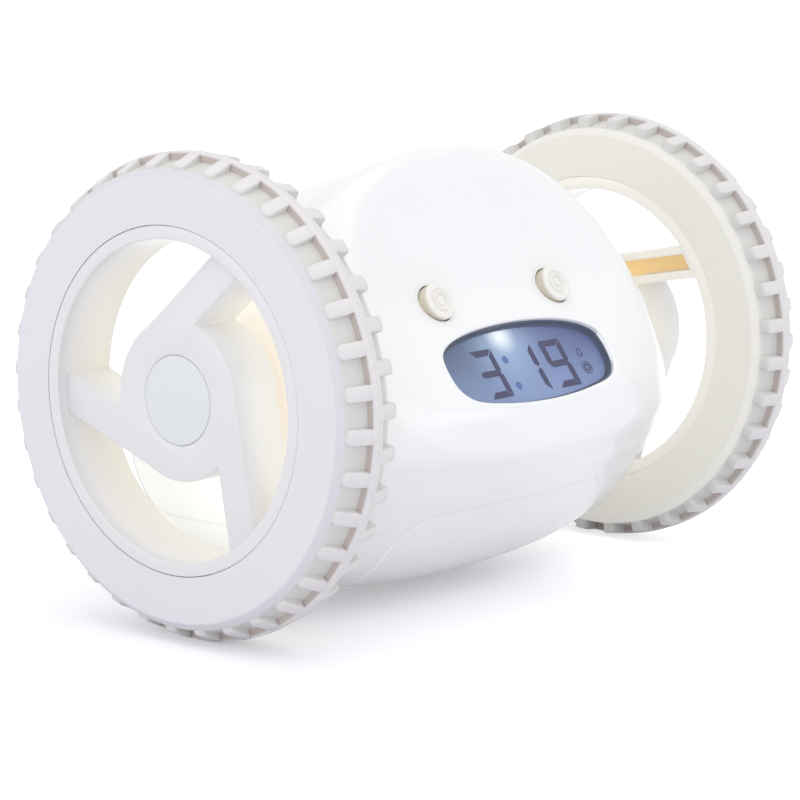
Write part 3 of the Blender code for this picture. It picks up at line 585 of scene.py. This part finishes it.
for k in range(8):
    turn = pi / 2 * k / 7
    out = LIP_WIDE * (1 - sin(turn)) + (0.03 if k == 0 else 0.0)
    sunk = LIP_DEEP * (1 - cos(turn))
    rows.append([(u, s, face_above(u, s) - sunk) for u, s in inward(window, -out)])
rows.append([(u, s, LIP_FOOT) for u, s, d in rows[-1]])
lip = stitched("lip", rows, SCREEN)
work = bmesh.new()
work.from_mesh(lip.data)
inside = SCREEN @ Vector((0, -15, SCREEN_DIST))
if sum((f.calc_center_median() - inside).dot(f.normal) for f in work.faces) > 0:
    bmesh.ops.reverse_faces(work, faces=work.faces)
work.to_mesh(lip.data)
work.free()
upper = join("upper_shell_skin", [upper, lip])
shade(upper, shell_white)
place_on(upper, "clock", "shell", "upper_shell")

# Base below the parting line, and the battery door let into it.
# Both are polished white mouldings, the base with two sinks for its screws underneath. The
# door shows as a fine outline with two rounded corners.
SINK_R = 2.35
SINK_AT = (44.2, 21.5)
SINK_SPAN = (-60, -27.2)
lower = duplicate(body_skin, "base_skin")
cut(lower, slab("keep", (-BIG, BIG), (-BIG, BIG), (-BIG, PARTING - SEAM)), "INTERSECT")
door = duplicate(body_skin, "battery_door_skin")
cut(lower, door_block("gap", DOOR_BACK + DOOR_GAP, DOOR_GAP))
cut(lower, join("sinks", [extrude("sink", disc(SINK_R, 32, side * SINK_AT[0], SINK_AT[1]), *SINK_SPAN,
                                  ALONG_Z) for side in (-1, 1)]))
shade(lower, shell_white)
place_on(lower, "clock", "shell", "lower_shell")
cut(door, door_block("keep", DOOR_BACK, 0.0), "INTERSECT")
shade(door, shell_white)
place_on(door, "clock", "shell", "battery_door")
bpy.data.objects.remove(body_skin, do_unlink=True)

# Display: a dark seal round the opening, the liquid-crystal panel and the clear window.
# A light guide sits behind the panel, which is a soft grey blue with a glow of its own, palest near
# its top left where it has a small pale spot, and lighter towards its lower edge. The time stands in
# plain seven-segment figures, with an alarm bell and a ring mark beside them.
PANEL_TOP = 21.7
SEAL_TOP = 22.9
SEAL_STEP = 22.0
SEAL_LOW = PANEL_TOP + 0.03
SEAL_OUT = 0.02
SEAL_FOOT = 0.75
SEAL_WALL = 0.3
PANE_LEVELS = (22.1, 23.15)
PANE_PLAY = 0.06
PRINT_LEVELS = (PANEL_TOP + 0.05, PANEL_TOP + 0.09)


def stitched_round(name, rows, place):
    """Closed strip of faces, from the last row back to the first."""
    made = stitched(name, rows + rows[:1], place)
    work = bmesh.new()
    work.from_mesh(made.data)
    bmesh.ops.remove_doubles(work, verts=work.verts, dist=0.000001)
    bmesh.ops.recalc_face_normals(work, faces=work.faces)
    work.to_mesh(made.data)
    work.free()
    return made


# The seal's dark walls are partly painted shade: they stand for the shadow the lip casts into the
# window.
seal_rows = [[(u, s, d) for u, s in inward(window, by)]
             for by, d in ((SEAL_OUT, SEAL_TOP), (SEAL_WALL, SEAL_TOP), (SEAL_WALL, SEAL_STEP),
                           (SEAL_FOOT, SEAL_STEP), (SEAL_FOOT, SEAL_LOW), (SEAL_OUT, SEAL_LOW))]
seal = stitched_round("display_seal", seal_rows, SCREEN)
shade(seal, moulded("dark_seal", (0.11, 0.13, 0.19), 0.45, 900.0, 0.01, 0.1))
place_on(seal, "clock", "black_plastic")

pane = Finish("clear_window_pane")
pane.feed("Base Color", pane.blend(pane.noise(80.0), rgb(0.20, 0.25, 0.38), rgb(0.24, 0.29, 0.42)))
pane.feed("Alpha", 0.08)
pane.feed("Roughness", 0.03 + 0.01 * pane.noise(120.0))
lens = extrude("display_window", inward(window, SEAL_WALL + PANE_PLAY), *PANE_LEVELS, SCREEN)
shade(lens, pane.material)
place_on(lens, "clock", "window", "display_lens")

panel = Finish("lit_crystal_panel")
along = panel.ramp(panel.axis(0), -24.0, 24.0)
stops = [(0.0, rgb(0.075, 0.105, 0.175)), (0.3, rgb(0.13, 0.175, 0.30)), (0.55, rgb(0.13, 0.17, 0.32)),
         (0.8, rgb(0.11, 0.14, 0.29)), (1.0, rgb(0.07, 0.085, 0.21))]
tint = panel.node("ShaderNodeValToRGB", {"stops": stops}, {"Fac": along})
low_edge = (SCREEN @ Vector((0, -23.5, PANEL_TOP))).z / MM
high_edge = (SCREEN @ Vector((0, -7.0, PANEL_TOP))).z / MM
low_light = 0.5 - 0.5 * panel.ramp(panel.axis(2), low_edge, high_edge)
tint = panel.blend(low_light, tint, rgb(0.29, 0.39, 0.64))
for spot, size, share, colour in (((-3.0, -9.0), 13.0, 0.6, (0.40, 0.55, 0.74)),
                                  ((-2.8, -7.6), 5.0, 0.95, (0.93, 1.0, 1.0))):
    far = panel.node("ShaderNodeVectorMath", {"operation": "DISTANCE"},
                     {0: panel.place, 1: SCREEN @ Vector((spot[0], spot[1], PANEL_TOP))}, "Value")
    tint = panel.blend(share - share * panel.ramp(far, 0.0, size * MM), tint, rgb(*colour))
panel.feed("Base Color", tint)
panel.feed("Emission Color", tint)
panel.feed("Emission Strength", 0.36)
panel.feed("Roughness", 0.3 + 0.02 * panel.noise(900.0))
dress(panel.material, "lcd_panel")

FIGURE_WIDE = 6.2
FIGURE_TALL = 10.2
STROKE = 1.32
SLIT = 0.16


def printed(name, outline):
    return extrude(name, outline, *PRINT_LEVELS, SCREEN)


def figure(left, top, lit):
    """Bars of one seven-segment figure as flat outlines, its top left corner given."""
    t = STROKE
    g = SLIT
    r = left + FIGURE_WIDE
    b = top - FIGURE_TALL
    m = top - FIGURE_TALL / 2
    bars = {
        "top": [(left + g, top), (r - g, top), (r - t - g, top - t), (left + t + g, top - t)],
        "bottom": [(left + t + g, b + t), (r - t - g, b + t), (r - g, b), (left + g, b)],
        "middle": [(left + g * 2, m), (left + t * 0.75, m + t / 2), (r - t * 0.75, m + t / 2),
                   (r - g * 2, m), (r - t * 0.75, m - t / 2), (left + t * 0.75, m - t / 2)],
        "upper_left": [(left, top - g), (left + t, top - t - g), (left + t, m + t / 2 + g),
                       (left + t * 0.4, m + g), (left, m + t * 0.4)],
        "upper_right": [(r, top - g), (r, m + t * 0.4), (r - t * 0.4, m + g),
                        (r - t, m + t / 2 + g), (r - t, top - t - g)],
        "lower_left": [(left, b + g), (left, m - t * 0.4), (left + t * 0.4, m - g),
                       (left + t, m - t / 2 - g), (left + t, b + t + g)],
        "lower_right": [(r, b + g), (r - t, b + t + g), (r - t, m - t / 2 - g),
                        (r - t * 0.4, m - g), (r, m - t * 0.4)],
    }
    return [printed("bar", bars[name]) for name in lit]


def hoop(cu, cv, out, inn):
    """Flat ring mark on the panel."""
    low, high = PRINT_LEVELS
    rows = [[(u, v, d) for u, v in disc(r, 28, cu, cv)]
            for r, d in ((out, low), (out, high), (inn, high), (inn, low))]
    return stitched_round("hoop", rows, SCREEN)


COLON_U = -4.6
COLON_V = (-12.95, -18.55)
DOT_R = 0.8
MARKS_U = 16.9
RING_V = -17.5
BELL_V = -14.1
BELL = [(-1.0, -0.7), (-0.7, -0.35), (-0.55, 0.5), (-0.2, 0.9), (0.2, 0.9), (0.55, 0.5), (0.7, -0.35),
        (1.0, -0.7)]
shown = figure(-13.4, -10.2, ["top", "upper_right", "middle", "lower_right", "bottom"])
shown += figure(-2.1, -10.5, ["upper_right", "lower_right"])
shown += figure(6.7, -10.5, ["top", "upper_left", "upper_right", "middle", "lower_right", "bottom"])
shown += [hoop(MARKS_U, RING_V, 1.35, 1.2), hoop(MARKS_U, RING_V, 0.85, 0.5)]
bell = printed("bell", [(MARKS_U + u, BELL_V + v) for u, v in BELL])
hollow = [(MARKS_U + u, BELL_V + v) for u, v in inward(BELL, 0.13)]
cut(bell, extrude("bell_cut", hollow, PANEL_TOP - 0.7, PANEL_TOP + 0.3, SCREEN))
shown += [bell, printed("clapper", disc(0.22, 16, MARKS_U, -14.95))]
figures = join("display_figures", shown)
shade(figures, moulded("dark_crystal_figures", (0.042, 0.032, 0.10), 0.4, 900.0, 0.002, 0.1))
place_on(figures, "clock", "display_glass")
dots = join("display_colon", [printed("dot", disc(DOT_R, 28, COLON_U, v)) for v in COLON_V])
shade(dots, moulded("pale_crystal_dots", (0.11, 0.18, 0.46), 0.4, 900.0, 0.002, 0.08))
place_on(dots, "clock", "display_glass")

# Buttons: two cream caps that stand out of the face.
# Each is a small moulding with a raised ring and mark on top and a flange that sits behind the
# shell. Its side is beige, made darker still by painted shade.
BUTTON_OUT = 22.75
BUTTON_R = 3.6
BUTTON_STAND = 2.1
BUTTON_DISH = 1.85
FLANGE_R = 4.3
FLANGE_TOP = -2.45
FLANGE_LOW = -3.3
MARK_LOW = 1.8
MARK_TOP = 2.02


def lathe(name, profile, place, count, centre=(0, 0), closed=False):
    """Turn (height, radius) points about the local z axis; closed joins the last to the first."""
    points = []
    rows = []
    for h, r in profile:
        turns = 1 if r == 0 else count
        rows.append(range(len(points), len(points) + turns))
        points += [place @ Vector((u, v, h)) for u, v in disc(r, turns, *centre)]
    faces = []
    for low, high in list(zip(rows, rows[1:])) + ([(rows[-1], rows[0])] if closed else []):
        for i in range(count):
            j = (i + 1) % count
            if len(low) == 1:
                faces.append((low[0], high[j], high[i]))
            elif len(high) == 1:
                faces.append((low[i], low[j], high[0]))
            else:
                faces.append((low[i], low[j], high[j], high[i]))
    return solid(name, points, faces)


def rounded(profile, radii, steps=4):
    """(height, radius) points with an arc at each corner that has a radius."""
    made = [profile[0]]
    for before, p, after, r in zip(profile, profile[1:], profile[2:], radii[1:]):
        if r == 0:
            made.append(p)
            continue
        a = Vector(before) - Vector(p)
        b = Vector(after) - Vector(p)
        back = min(r / tan(a.angle(b) / 2), a.length * 0.49, b.length * 0.49)
        start = Vector(p) + a.normalized() * back
        stop = Vector(p) + b.normalized() * back
        for k in range(steps + 1):
            t = k / steps
            q = start * (1 - t) ** 2 + Vector(p) * 2 * t * (1 - t) + stop * t * t
            made.append((q.x, q.y))
    return made + [profile[-1]]


cream = Finish("cream_button")
normal = (FACE.to_3x3() @ Vector((0, 0, 1))).normalized()
height = cream.node("ShaderNodeVectorMath", {"operation": "DOT_PRODUCT"},
                    {0: cream.place, 1: normal}, "Value")
seat = normal.dot(FACE @ Vector((0, 0, BUTTON_OUT)))
# Painted shade: the cap is a darker beige down its side than on its top.
crown = cream.ramp(height, seat + 1.2 * MM, seat + 2.1 * MM)
cream.feed("Base Color", cream.blend(crown, rgb(0.66, 0.605, 0.49), rgb(0.87, 0.855, 0.825)))
cream.feed("Roughness", 0.28 + 0.1 * cream.noise(300.0))
cream.feed("Coat Weight", 0.15)
cream.relief(cream.noise(900.0), 0.006, 0.6)
for side, tag in ((-1, "left"), (1, "right")):
    at = (side * BUTTON_AT[0], BUTTON_AT[1])
    outline = [(BUTTON_DISH, 0), (BUTTON_DISH, 2.3), (BUTTON_STAND, 2.5), (BUTTON_STAND, BUTTON_R),
               (FLANGE_TOP, BUTTON_R), (FLANGE_TOP, FLANGE_R), (FLANGE_LOW, FLANGE_R), (FLANGE_LOW, 0)]
    outline = rounded(outline, [0, 0.15, 0.15, 0.7, 0.1, 0.1, 0.1, 0], 5)
    parts = [lathe("cap", [(BUTTON_OUT + h, r) for h, r in outline], FACE, 72, at)]
    ring = rounded([(MARK_LOW, 1.85), (2.06, 1.85), (2.06, 1.5), (MARK_LOW, 1.5)], [0, 0.1, 0.1, 0])
    parts.append(lathe("ring", [(BUTTON_OUT + h, r) for h, r in ring], FACE, 56, at, True))
    if side < 0:
        spot = rounded([(MARK_LOW, 0.85), (MARK_TOP, 0.85), (MARK_TOP, 0)], [0, 0.1, 0])
        parts.append(lathe("spot", [(BUTTON_OUT + h, r) for h, r in spot], FACE, 40, at))
    else:
        parts.append(extrude("spot", [(at[0] + u * 0.85, at[1] + v * 0.85) for u, v in BELL],
                             BUTTON_OUT + MARK_LOW, BUTTON_OUT + MARK_TOP, FACE))
    piece = join("button_cap_" + tag, parts)
    shade(piece, cream.material, 40)
    place_on(piece, "button_" + tag, "button_plastic", tag + "_button")

# Wheels: rim, hub and three tangential spokes in one white moulding.
# Hub and spokes are channels open at the back, about 1.7 mm thick, with soft edges. Their depths are
# painted cream and the channel floors tan, with painted glows, for light coming through the thin
# plastic.
INNER_FACE = 54.49
OUTER_FACE = 67.74
MIDDLE = (INNER_FACE + OUTER_FACE) / 2
RIM_OUT = 31.27
RIM_IN = 28.8
HUB_R = 14.6
HUB_FACE = 65.6
SPOKE_OUTER = -14.4
SPOKE_INNER = -7.7
SPOKE_WALL = 1.7
SOFT_EDGE = 0.4
WEB_BACK = INNER_FACE + 0.5
BOSS_R = 4.4
BOSS_TOP = 64.1
SHAFT_HOLE_R = 2.06
CAP_R = 8.06
CAP_SEAT_R = 8.12
CAP_THICK = 1.0
CAP_SEAT_DEEP = 1.3
# Side, name, spoke angles, and the angles at which the outer and inner rows of lugs start
WHEELS = ((-1, "left", (19.4, 139.4, 259.4), 2.4, 7.4), (1, "right", (49.7, 169.7, 289.7), 9.7, 4.7))


def star(radius, low, high, reach, spoke_angles):
    """Hub circle with one straight arm per spoke, tangent to it on one side."""
    start = atan2(high, sqrt(radius ** 2 - high ** 2))
    stop = atan2(low, sqrt(radius ** 2 - low ** 2)) + 2 * pi / len(spoke_angles)
    outline = []
    for angle in spoke_angles:
        turn = radians(angle)
        for u, v in ((sqrt(reach ** 2 - low ** 2), low), (sqrt(reach ** 2 - high ** 2), high)):
            outline.append((u * cos(turn) - v * sin(turn), u * sin(turn) + v * cos(turn)))
        outline += [(radius * cos(turn + start + (stop - start) * k / 24),
                     radius * sin(turn + start + (stop - start) * k / 24)) for k in range(25)]
    return outline


def span(side, low, high):
    return sorted((side * low, side * high))


satin = Finish("satin_white_wheel")
depth = satin.reach(satin.axis(0))
# Painted light: the wheel turns cream towards its depths, standing in for light that comes through the
# thin plastic and bounces inside.
tone = satin.blend(satin.ramp(depth, 66.5, 56.0), rgb(0.765, 0.757, 0.775), rgb(0.86, 0.84, 0.775))
# Painted glow: the channel floors get a tan colour and a tan glow of their own.
painted_glow_floor = (0 - satin.axis(0)) * satin.facing_across() > 60.0
satin.feed("Base Color", satin.blend(painted_glow_floor, tone, rgb(0.92, 0.70, 0.38)))
# Painted glow on the walls deeper than the wheel's front, but not on faces that look outward.
outward = satin.facing_across() * satin.axis(0)
sides = (1 - satin.ramp(outward, 10.0, 50.0)) * satin.ramp(depth, 67.6, 64.5)
glow = satin.blend(sides, rgb(0.0, 0.0, 0.0), rgb(0.34, 0.335, 0.305))
satin.feed("Emission Color", satin.blend(painted_glow_floor, glow, rgb(1.0, 0.66, 0.25)))
satin.feed("Emission Strength", 0.25)
satin.feed("Roughness", 0.26 + 0.05 * satin.noise(200.0))
satin.feed("Coat Weight", 0.1)
satin.relief(satin.noise(600.0), 0.004, 0.5)
cap_white = moulded("satin_white_hub_cap", (0.74, 0.76, 0.77), 0.26, 600.0, 0.004, 0.006, 0.1)
for side, tag, spoke_angles, outer_start, inner_start in WHEELS:
    rim = rounded([(OUTER_FACE, 29.6), (OUTER_FACE, RIM_OUT), (INNER_FACE, RIM_OUT),
                   (INNER_FACE, RIM_IN), (OUTER_FACE, RIM_IN), (OUTER_FACE, 29.55)],
                  [0, 0.3, 0.3, 0.45, 0.6, 0])
    band = lathe("band", [(side * h, r) for h, r in rim[:-1]], ALONG_X, 220, (0, 0), True)
    web = extrude("web", star(HUB_R, SPOKE_OUTER, SPOKE_INNER, RIM_IN + 0.9, spoke_angles),
                  *span(side, WEB_BACK, HUB_FACE), ALONG_X)
    channel = star(HUB_R - SPOKE_WALL, SPOKE_OUTER + SPOKE_WALL, SPOKE_INNER - SPOKE_WALL, RIM_IN - 0.8,
                   spoke_angles)
    cut(web, extrude("channel", channel, *span(side, INNER_FACE - 2, HUB_FACE - SPOKE_WALL), ALONG_X))
    cut(web, extrude("seat", disc(CAP_SEAT_R, 96), *span(side, HUB_FACE - CAP_SEAT_DEEP, HUB_FACE + 5),
                     ALONG_X))
    soft = web.modifiers.new("soft", "BEVEL")
    soft.width = SOFT_EDGE * MM
    soft.segments = 3
    soft.limit_method = "ANGLE"
    soft.angle_limit = radians(50)
    bake_down(web)
    boss = rounded([(WEB_BACK, SHAFT_HOLE_R), (WEB_BACK, BOSS_R), (BOSS_TOP, BOSS_R),
                    (BOSS_TOP, SHAFT_HOLE_R)], [0, 0.3, 0, 0])
    boss = lathe("boss", [(side * h, r) for h, r in boss], ALONG_X, 64, (0, 0), True)
    piece = join("wheel_moulding_" + tag, [band, web, boss])
    shade(piece, satin.material, 30)
    place_on(piece, "wheel_%s_set" % tag, "wheel_plastic", "wheel_" + tag)
    cap = rounded([(HUB_FACE - CAP_THICK, 0), (HUB_FACE - CAP_THICK, CAP_R), (HUB_FACE, CAP_R),
                   (HUB_FACE, 0)], [0, 0, 0.25, 0])
    cap = lathe("hub_disc_" + tag, [(side * h, r) for h, r in cap], ALONG_X, 96)
    shade(cap, cap_white, 30)
    place_on(cap, "wheel_%s_set" % tag, "wheel_plastic", "hub_cap_" + tag)

# Tyres: soft white rubber stretched over the rims.
# A centre rib runs round the tread, and 36 finger-like lugs stand on each side of it, half a
# step apart, crowned down to the bevelled shoulders. Shade is painted into the grooves, lug sides,
# roots and shoulder band, and the inner side wall is painted darker with a painted glow.
TYRE_HALF = 6.625
BEAD_R = 31.36
SHOULDER_R = 39.8
RIB_R = 43.98
LUG_COUNT = 36
LUG_TOP = 43.9
OUTER_SLOPE = 0.45
INNER_SLOPE = 0.15
LUG_ROOT = 40.6
LUG_WIDE = 2.85
LUG_END = 5.45
rubber = Finish("soft_white_rubber")
from_axle = rubber.length(rubber.axis(1), rubber.axis(2, AXLE))
half_way = rubber.reach(rubber.axis(0))
# Painted light and shade: the inner side wall is painted a darker olive, and its painted glow below
# makes it read cream.
wall = rubber.blend(rubber.ramp(half_way, 57.0, 66.0), rgb(0.53, 0.52, 0.465), rgb(0.775, 0.762, 0.805))
# Painted shade: a darker mauve band round the shoulder, between side wall and grooves.
shoulder = rubber.ramp(from_axle, 39.75, 40.1) * 0.35
wall = rubber.blend(shoulder, wall, rgb(0.60, 0.57, 0.63))
outward = half_way - MIDDLE
from_middle = rubber.reach(outward)
fall = (OUTER_SLOPE + INNER_SLOPE) / 2 * from_middle + (OUTER_SLOPE - INNER_SLOPE) / 2 * outward
# Painted shade: below the crowns, on the lug sides and in the grooves, the tread is painted darker than
# the lug tops.
under_crown = from_axle + fall - (LUG_TOP + OUTER_SLOPE)
on_top = rubber.ramp(under_crown, -0.5, -0.2)
tread = rubber.blend(on_top, rgb(0.69, 0.685, 0.66), rgb(0.775, 0.75, 0.765))
# Painted shade: brown on the rib's sides and the lug roots beside it, where the tread lies in shade.
beside_rib = 1 - rubber.ramp(from_middle, 1.3, 1.8)
painted_root_shade = rubber.ramp(from_axle, 42.15, 42.5) * (1 - rubber.ramp(from_axle, 43.3, 43.8))
tread = rubber.blend(painted_root_shade * beside_rib * 0.8, tread, rgb(0.46, 0.38, 0.35))
tone = rubber.blend(rubber.ramp(from_axle, 40.9, 41.4), wall, tread)
speck = rubber.noise(1900.0, 1.0) > 0.735
tone = rubber.blend(0.12 * rubber.noise(60.0, 4.0), tone, rgb(0.60, 0.57, 0.60))
rubber.feed("Base Color", rubber.blend(speck * 0.22, tone, rgb(0.52, 0.48, 0.47)))
# Painted glow on the inner side wall, below the tread.
painted_glow_inner_wall = (1 - rubber.ramp(half_way, 57.0, 60.0)) * (1 - rubber.ramp(from_axle, 40.9, 41.4))
rubber.feed("Emission Color", rubber.blend(painted_glow_inner_wall, rgb(0.0, 0.0, 0.0), rgb(0.96, 0.945, 0.86)))
rubber.feed("Emission Strength", 0.3)
rubber.feed("Roughness", 0.45 + 0.15 * rubber.noise(500.0))
rubber.relief(rubber.noise(1500.0, 3.0), 0.02, 0.6)


def lug_row_tree(name, material):
    """Nodes that set two rows of lugs round the axle and join them to the ring they stand on."""
    tree = bpy.data.node_groups.new(name, "GeometryNodeTree")
    sockets = {}
    for label, kind in (("Ring", "Geometry"), ("Lugs a side", "Int"), ("Outer lug", "Object"),
                        ("Inner lug", "Object"), ("Outer start", "Float"), ("Inner start", "Float")):
        made = tree.interface.new_socket(name=label, in_out="INPUT", socket_type="NodeSocket" + kind)
        sockets[label] = made.identifier
    tree.interface.new_socket(name="Tyre", in_out="OUTPUT", socket_type="NodeSocketGeometry")
    given = tree.nodes.new("NodeGroupInput").outputs

    def add(kind, settings, wired, take=0):
        made = tree.nodes.new(kind)
        for key, value in settings.items():
            setattr(made, key, value)
        for key, value in wired.items():
            if isinstance(value, bpy.types.NodeSocket):
                tree.links.new(value, made.inputs[key])
            else:
                made.inputs[key].default_value = value
        return made.outputs[take] if len(made.outputs) else None

    step = add("ShaderNodeMath", {"operation": "DIVIDE"}, {0: 2 * pi, 1: given["Lugs a side"]})
    number = add("GeometryNodeInputIndex", {}, {})
    rows = [given["Ring"]]
    for row in ("Outer", "Inner"):
        spots = add("GeometryNodePoints", {}, {"Count": given["Lugs a side"]})
        angle = add("ShaderNodeMath", {"operation": "MULTIPLY_ADD"},
                    {0: number, 1: step, 2: given[row + " start"]})
        turn = add("ShaderNodeCombineXYZ", {}, {0: angle})
        about = add("FunctionNodeEulerToRotation", {}, {0: turn})
        picked = add("GeometryNodeObjectInfo", {}, {0: given[row + " lug"]}, "Geometry")
        rows.append(add("GeometryNodeInstanceOnPoints", {}, {"Points": spots, "Instance": picked,
                                                             "Rotation": about}))
    whole = add("GeometryNodeJoinGeometry", {}, {})
    for row in rows:
        tree.links.new(row, whole.node.inputs[0])
    real = add("GeometryNodeRealizeInstances", {}, {0: whole})
    dressed = add("GeometryNodeSetMaterial", {}, {"Geometry": real, "Material": material})
    add("NodeGroupOutput", {}, {0: dressed})
    return tree, sockets


def lug(side, way):
    """One lug at angle zero about the axle line: a soft-edged bar, bevelled to its outer end."""
    slope = OUTER_SLOPE if way > 0 else INNER_SLOPE
    rows = []
    for h, narrow, low in ((0.4, 0.0, 0.0), (1.0, 0.0, 0.0), (2.8, 0.0, 0.0), (4.6, 0.0, 0.0),
                           (4.95, 0.1, 0.04), (5.2, 0.28, 0.12), (5.38, 0.55, 0.3),
                           (LUG_END, 0.85, 0.6)):
        w = LUG_WIDE / 2 - narrow
        half = [(w, None), (w, 0.45), (w - 0.1, 0.13), (w - 0.32, 0.0)]
        row = []
        for across, drop in half + [(-across, drop) for across, drop in half[::-1]]:
            q = LUG_ROOT if drop is None else LUG_TOP - slope * max(h - 1.0, 0.0) - low - drop
            row.append((side * (MIDDLE + way * h) * MM, sqrt(q * q - across ** 2) * MM, across * MM))
        rows.append(row)
    n = len(rows[0])
    ends = [tuple(range(n))[::-1], tuple(range((len(rows) - 1) * n, len(rows) * n))]
    return solid("lug", [p for row in rows for p in row], strip(n, len(rows)) + ends)


tree, sockets = lug_row_tree("lug_rows", rubber.material)
for side, tag, spoke_angles, outer_start, inner_start in WHEELS:
    half = [(TYRE_HALF, BEAD_R), (TYRE_HALF, SHOULDER_R), (5.5, 41.1), (1.3, 42.2), (1.05, RIB_R)]
    profile = rounded(half + [(-h, r) for h, r in half[::-1]],
                      [0, 0.45, 0.5, 0.25, 0.35, 0.35, 0.25, 0.5, 0.45, 0])
    ring = lathe("tyre_tread_" + tag, [(side * (MIDDLE + h), r) for h, r in profile], ALONG_X, 240,
                 (0, 0), True)
    ring.data.transform(Matrix.Translation((0, 0, -AXLE * MM)))
    lugs = [lug(side, 1), lug(side, -1)]
    grow = ring.modifiers.new("lugs", "NODES")
    grow.node_group = tree
    for label, value in (("Lugs a side", LUG_COUNT), ("Outer lug", lugs[0]), ("Inner lug", lugs[1]),
                         ("Outer start", radians(outer_start)), ("Inner start", radians(inner_start))):
        grow[sockets[label]] = value
    bake_down(ring)
    ring.data.transform(Matrix.Translation((0, 0, AXLE * MM)))
    for made in lugs:
        bpy.data.objects.remove(made, do_unlink=True)
    shade(ring, rubber.material, 38)
    place_on(ring, "wheel_%s_set" % tag, "tyre", "tyre_" + tag)

# Studio: a pale floor, white air all round, four soft lamps and the camera.
# The floor glows more towards the far wheel, where the photograph is palest. The camera stands
# low at the left of the face, as it did for the photograph.
WHITE_LIFT = 0.32
FAR_LIFT = 0.28
AIR = 0.67
floor = extrude("studio_floor", disc(16000.0, 64), -AXLE - 1.0, -AXLE, ALONG_Z)
paper = Finish("studio_paper")
clouds = paper.noise(3.0)
paper.feed("Base Color", paper.blend(clouds, rgb(0.74, 0.745, 0.785), rgb(0.76, 0.765, 0.805)))
paper.feed("Roughness", 0.9)
seen = paper.node("ShaderNodeLightPath", {}, {}, "Is Camera Ray")
seen += paper.node("ShaderNodeLightPath", {}, {}, "Is Glossy Ray")
seen += paper.node("ShaderNodeLightPath", {}, {}, "Is Transmission Ray")
# Painted light: the floor's glow grows towards the far wheel and washes out the shadow there.
lift = WHITE_LIFT + FAR_LIFT * paper.ramp(paper.axis(0), 5.0, 50.0)
glow = paper.node("ShaderNodeEmission", {}, {"Color": rgb(1, 1, 1), "Strength": seen * lift})
surface = Reading(paper, paper.shader.outputs[0])
both = paper.node("ShaderNodeAddShader", {}, {0: surface, 1: glow})
paper.tree.links.new(both.socket, paper.tree.nodes["Material Output"].inputs["Surface"])
floor.data.materials.append(paper.material)

world = bpy.data.worlds.new("studio_air")
bpy.context.scene.world = world
world.use_nodes = True
air = world.node_tree
paths = air.nodes.new("ShaderNodeLightPath")
picked = air.nodes.new("ShaderNodeMath")
picked.operation = "MAXIMUM"
air.links.new(paths.outputs["Is Camera Ray"], picked.inputs[0])
air.links.new(paths.outputs["Is Glossy Ray"], picked.inputs[1])
level = air.nodes.new("ShaderNodeMapRange")
level.inputs["To Min"].default_value = AIR
level.inputs["To Max"].default_value = 1.0
air.links.new(picked.outputs[0], level.inputs["Value"])
air.nodes["Background"].inputs["Color"].default_value = (1.0, 1.0, 1.0, 1.0)
air.links.new(level.outputs[0], air.nodes["Background"].inputs["Strength"])


def lamp(name, at, size, power, colour=(1, 1, 1)):
    data = bpy.data.lights.new(name, "AREA")
    data.shape = "SQUARE"
    data.size = size
    data.energy = power
    data.color = colour
    made = bpy.data.objects.new(name, data)
    made.location = at
    made.rotation_euler = (Vector((0, 0, 0.045)) - Vector(at)).to_track_quat("-Z", "Y").to_euler()
    bpy.context.scene.collection.objects.link(made)


lamp("front_softbox", (0.5, -0.95, 0.12), 0.7, 1.9, (0.98, 0.99, 1.0))
lamp("fill_softbox", (-0.8, -0.72, 0.12), 0.7, 2.0, (0.98, 0.99, 1.0))
lamp("left_softbox", (-0.8, 0.35, 0.06), 0.6, 1.6, (0.98, 0.98, 1.0))
overhead = bpy.data.lights.new("overhead_softness", "SUN")
overhead.energy = 1.0
overhead.angle = radians(80)
overhead = bpy.data.objects.new("overhead_softness", overhead)
overhead.rotation_euler = (radians(4), radians(-4), 0)
bpy.context.scene.collection.objects.link(overhead)

CAMERA_ROUND = radians(-48.833)
CAMERA_ABOVE = radians(9.62)
CAMERA_FAR = 580.955
CAMERA_SHIFT = -3.72
CAMERA_RISE = 35.248
FOCAL_PIXELS = 2966.869
PHOTO_PIXELS = 800.0
flat = cos(CAMERA_ABOVE)
back = Vector((sin(CAMERA_ROUND) * flat, -cos(CAMERA_ROUND) * flat, sin(CAMERA_ABOVE)))
right = Vector((cos(CAMERA_ROUND), sin(CAMERA_ROUND), 0.0))
up = back.cross(right)
view = bpy.data.cameras.new("photo_view")
view.sensor_width = 36.0
view.lens = FOCAL_PIXELS * view.sensor_width / PHOTO_PIXELS
view.clip_end = 50.0
camera = bpy.data.objects.new("photo_view", view)
stand = (back * CAMERA_FAR + right * CAMERA_SHIFT + up * CAMERA_RISE) * MM
camera.matrix_world = Matrix.Translation(stand) @ Matrix((right, up, back)).transposed().to_4x4()
bpy.context.scene.collection.objects.link(camera)
bpy.context.scene.camera = camera
bpy.context.scene.view_settings.view_transform = "Standard"
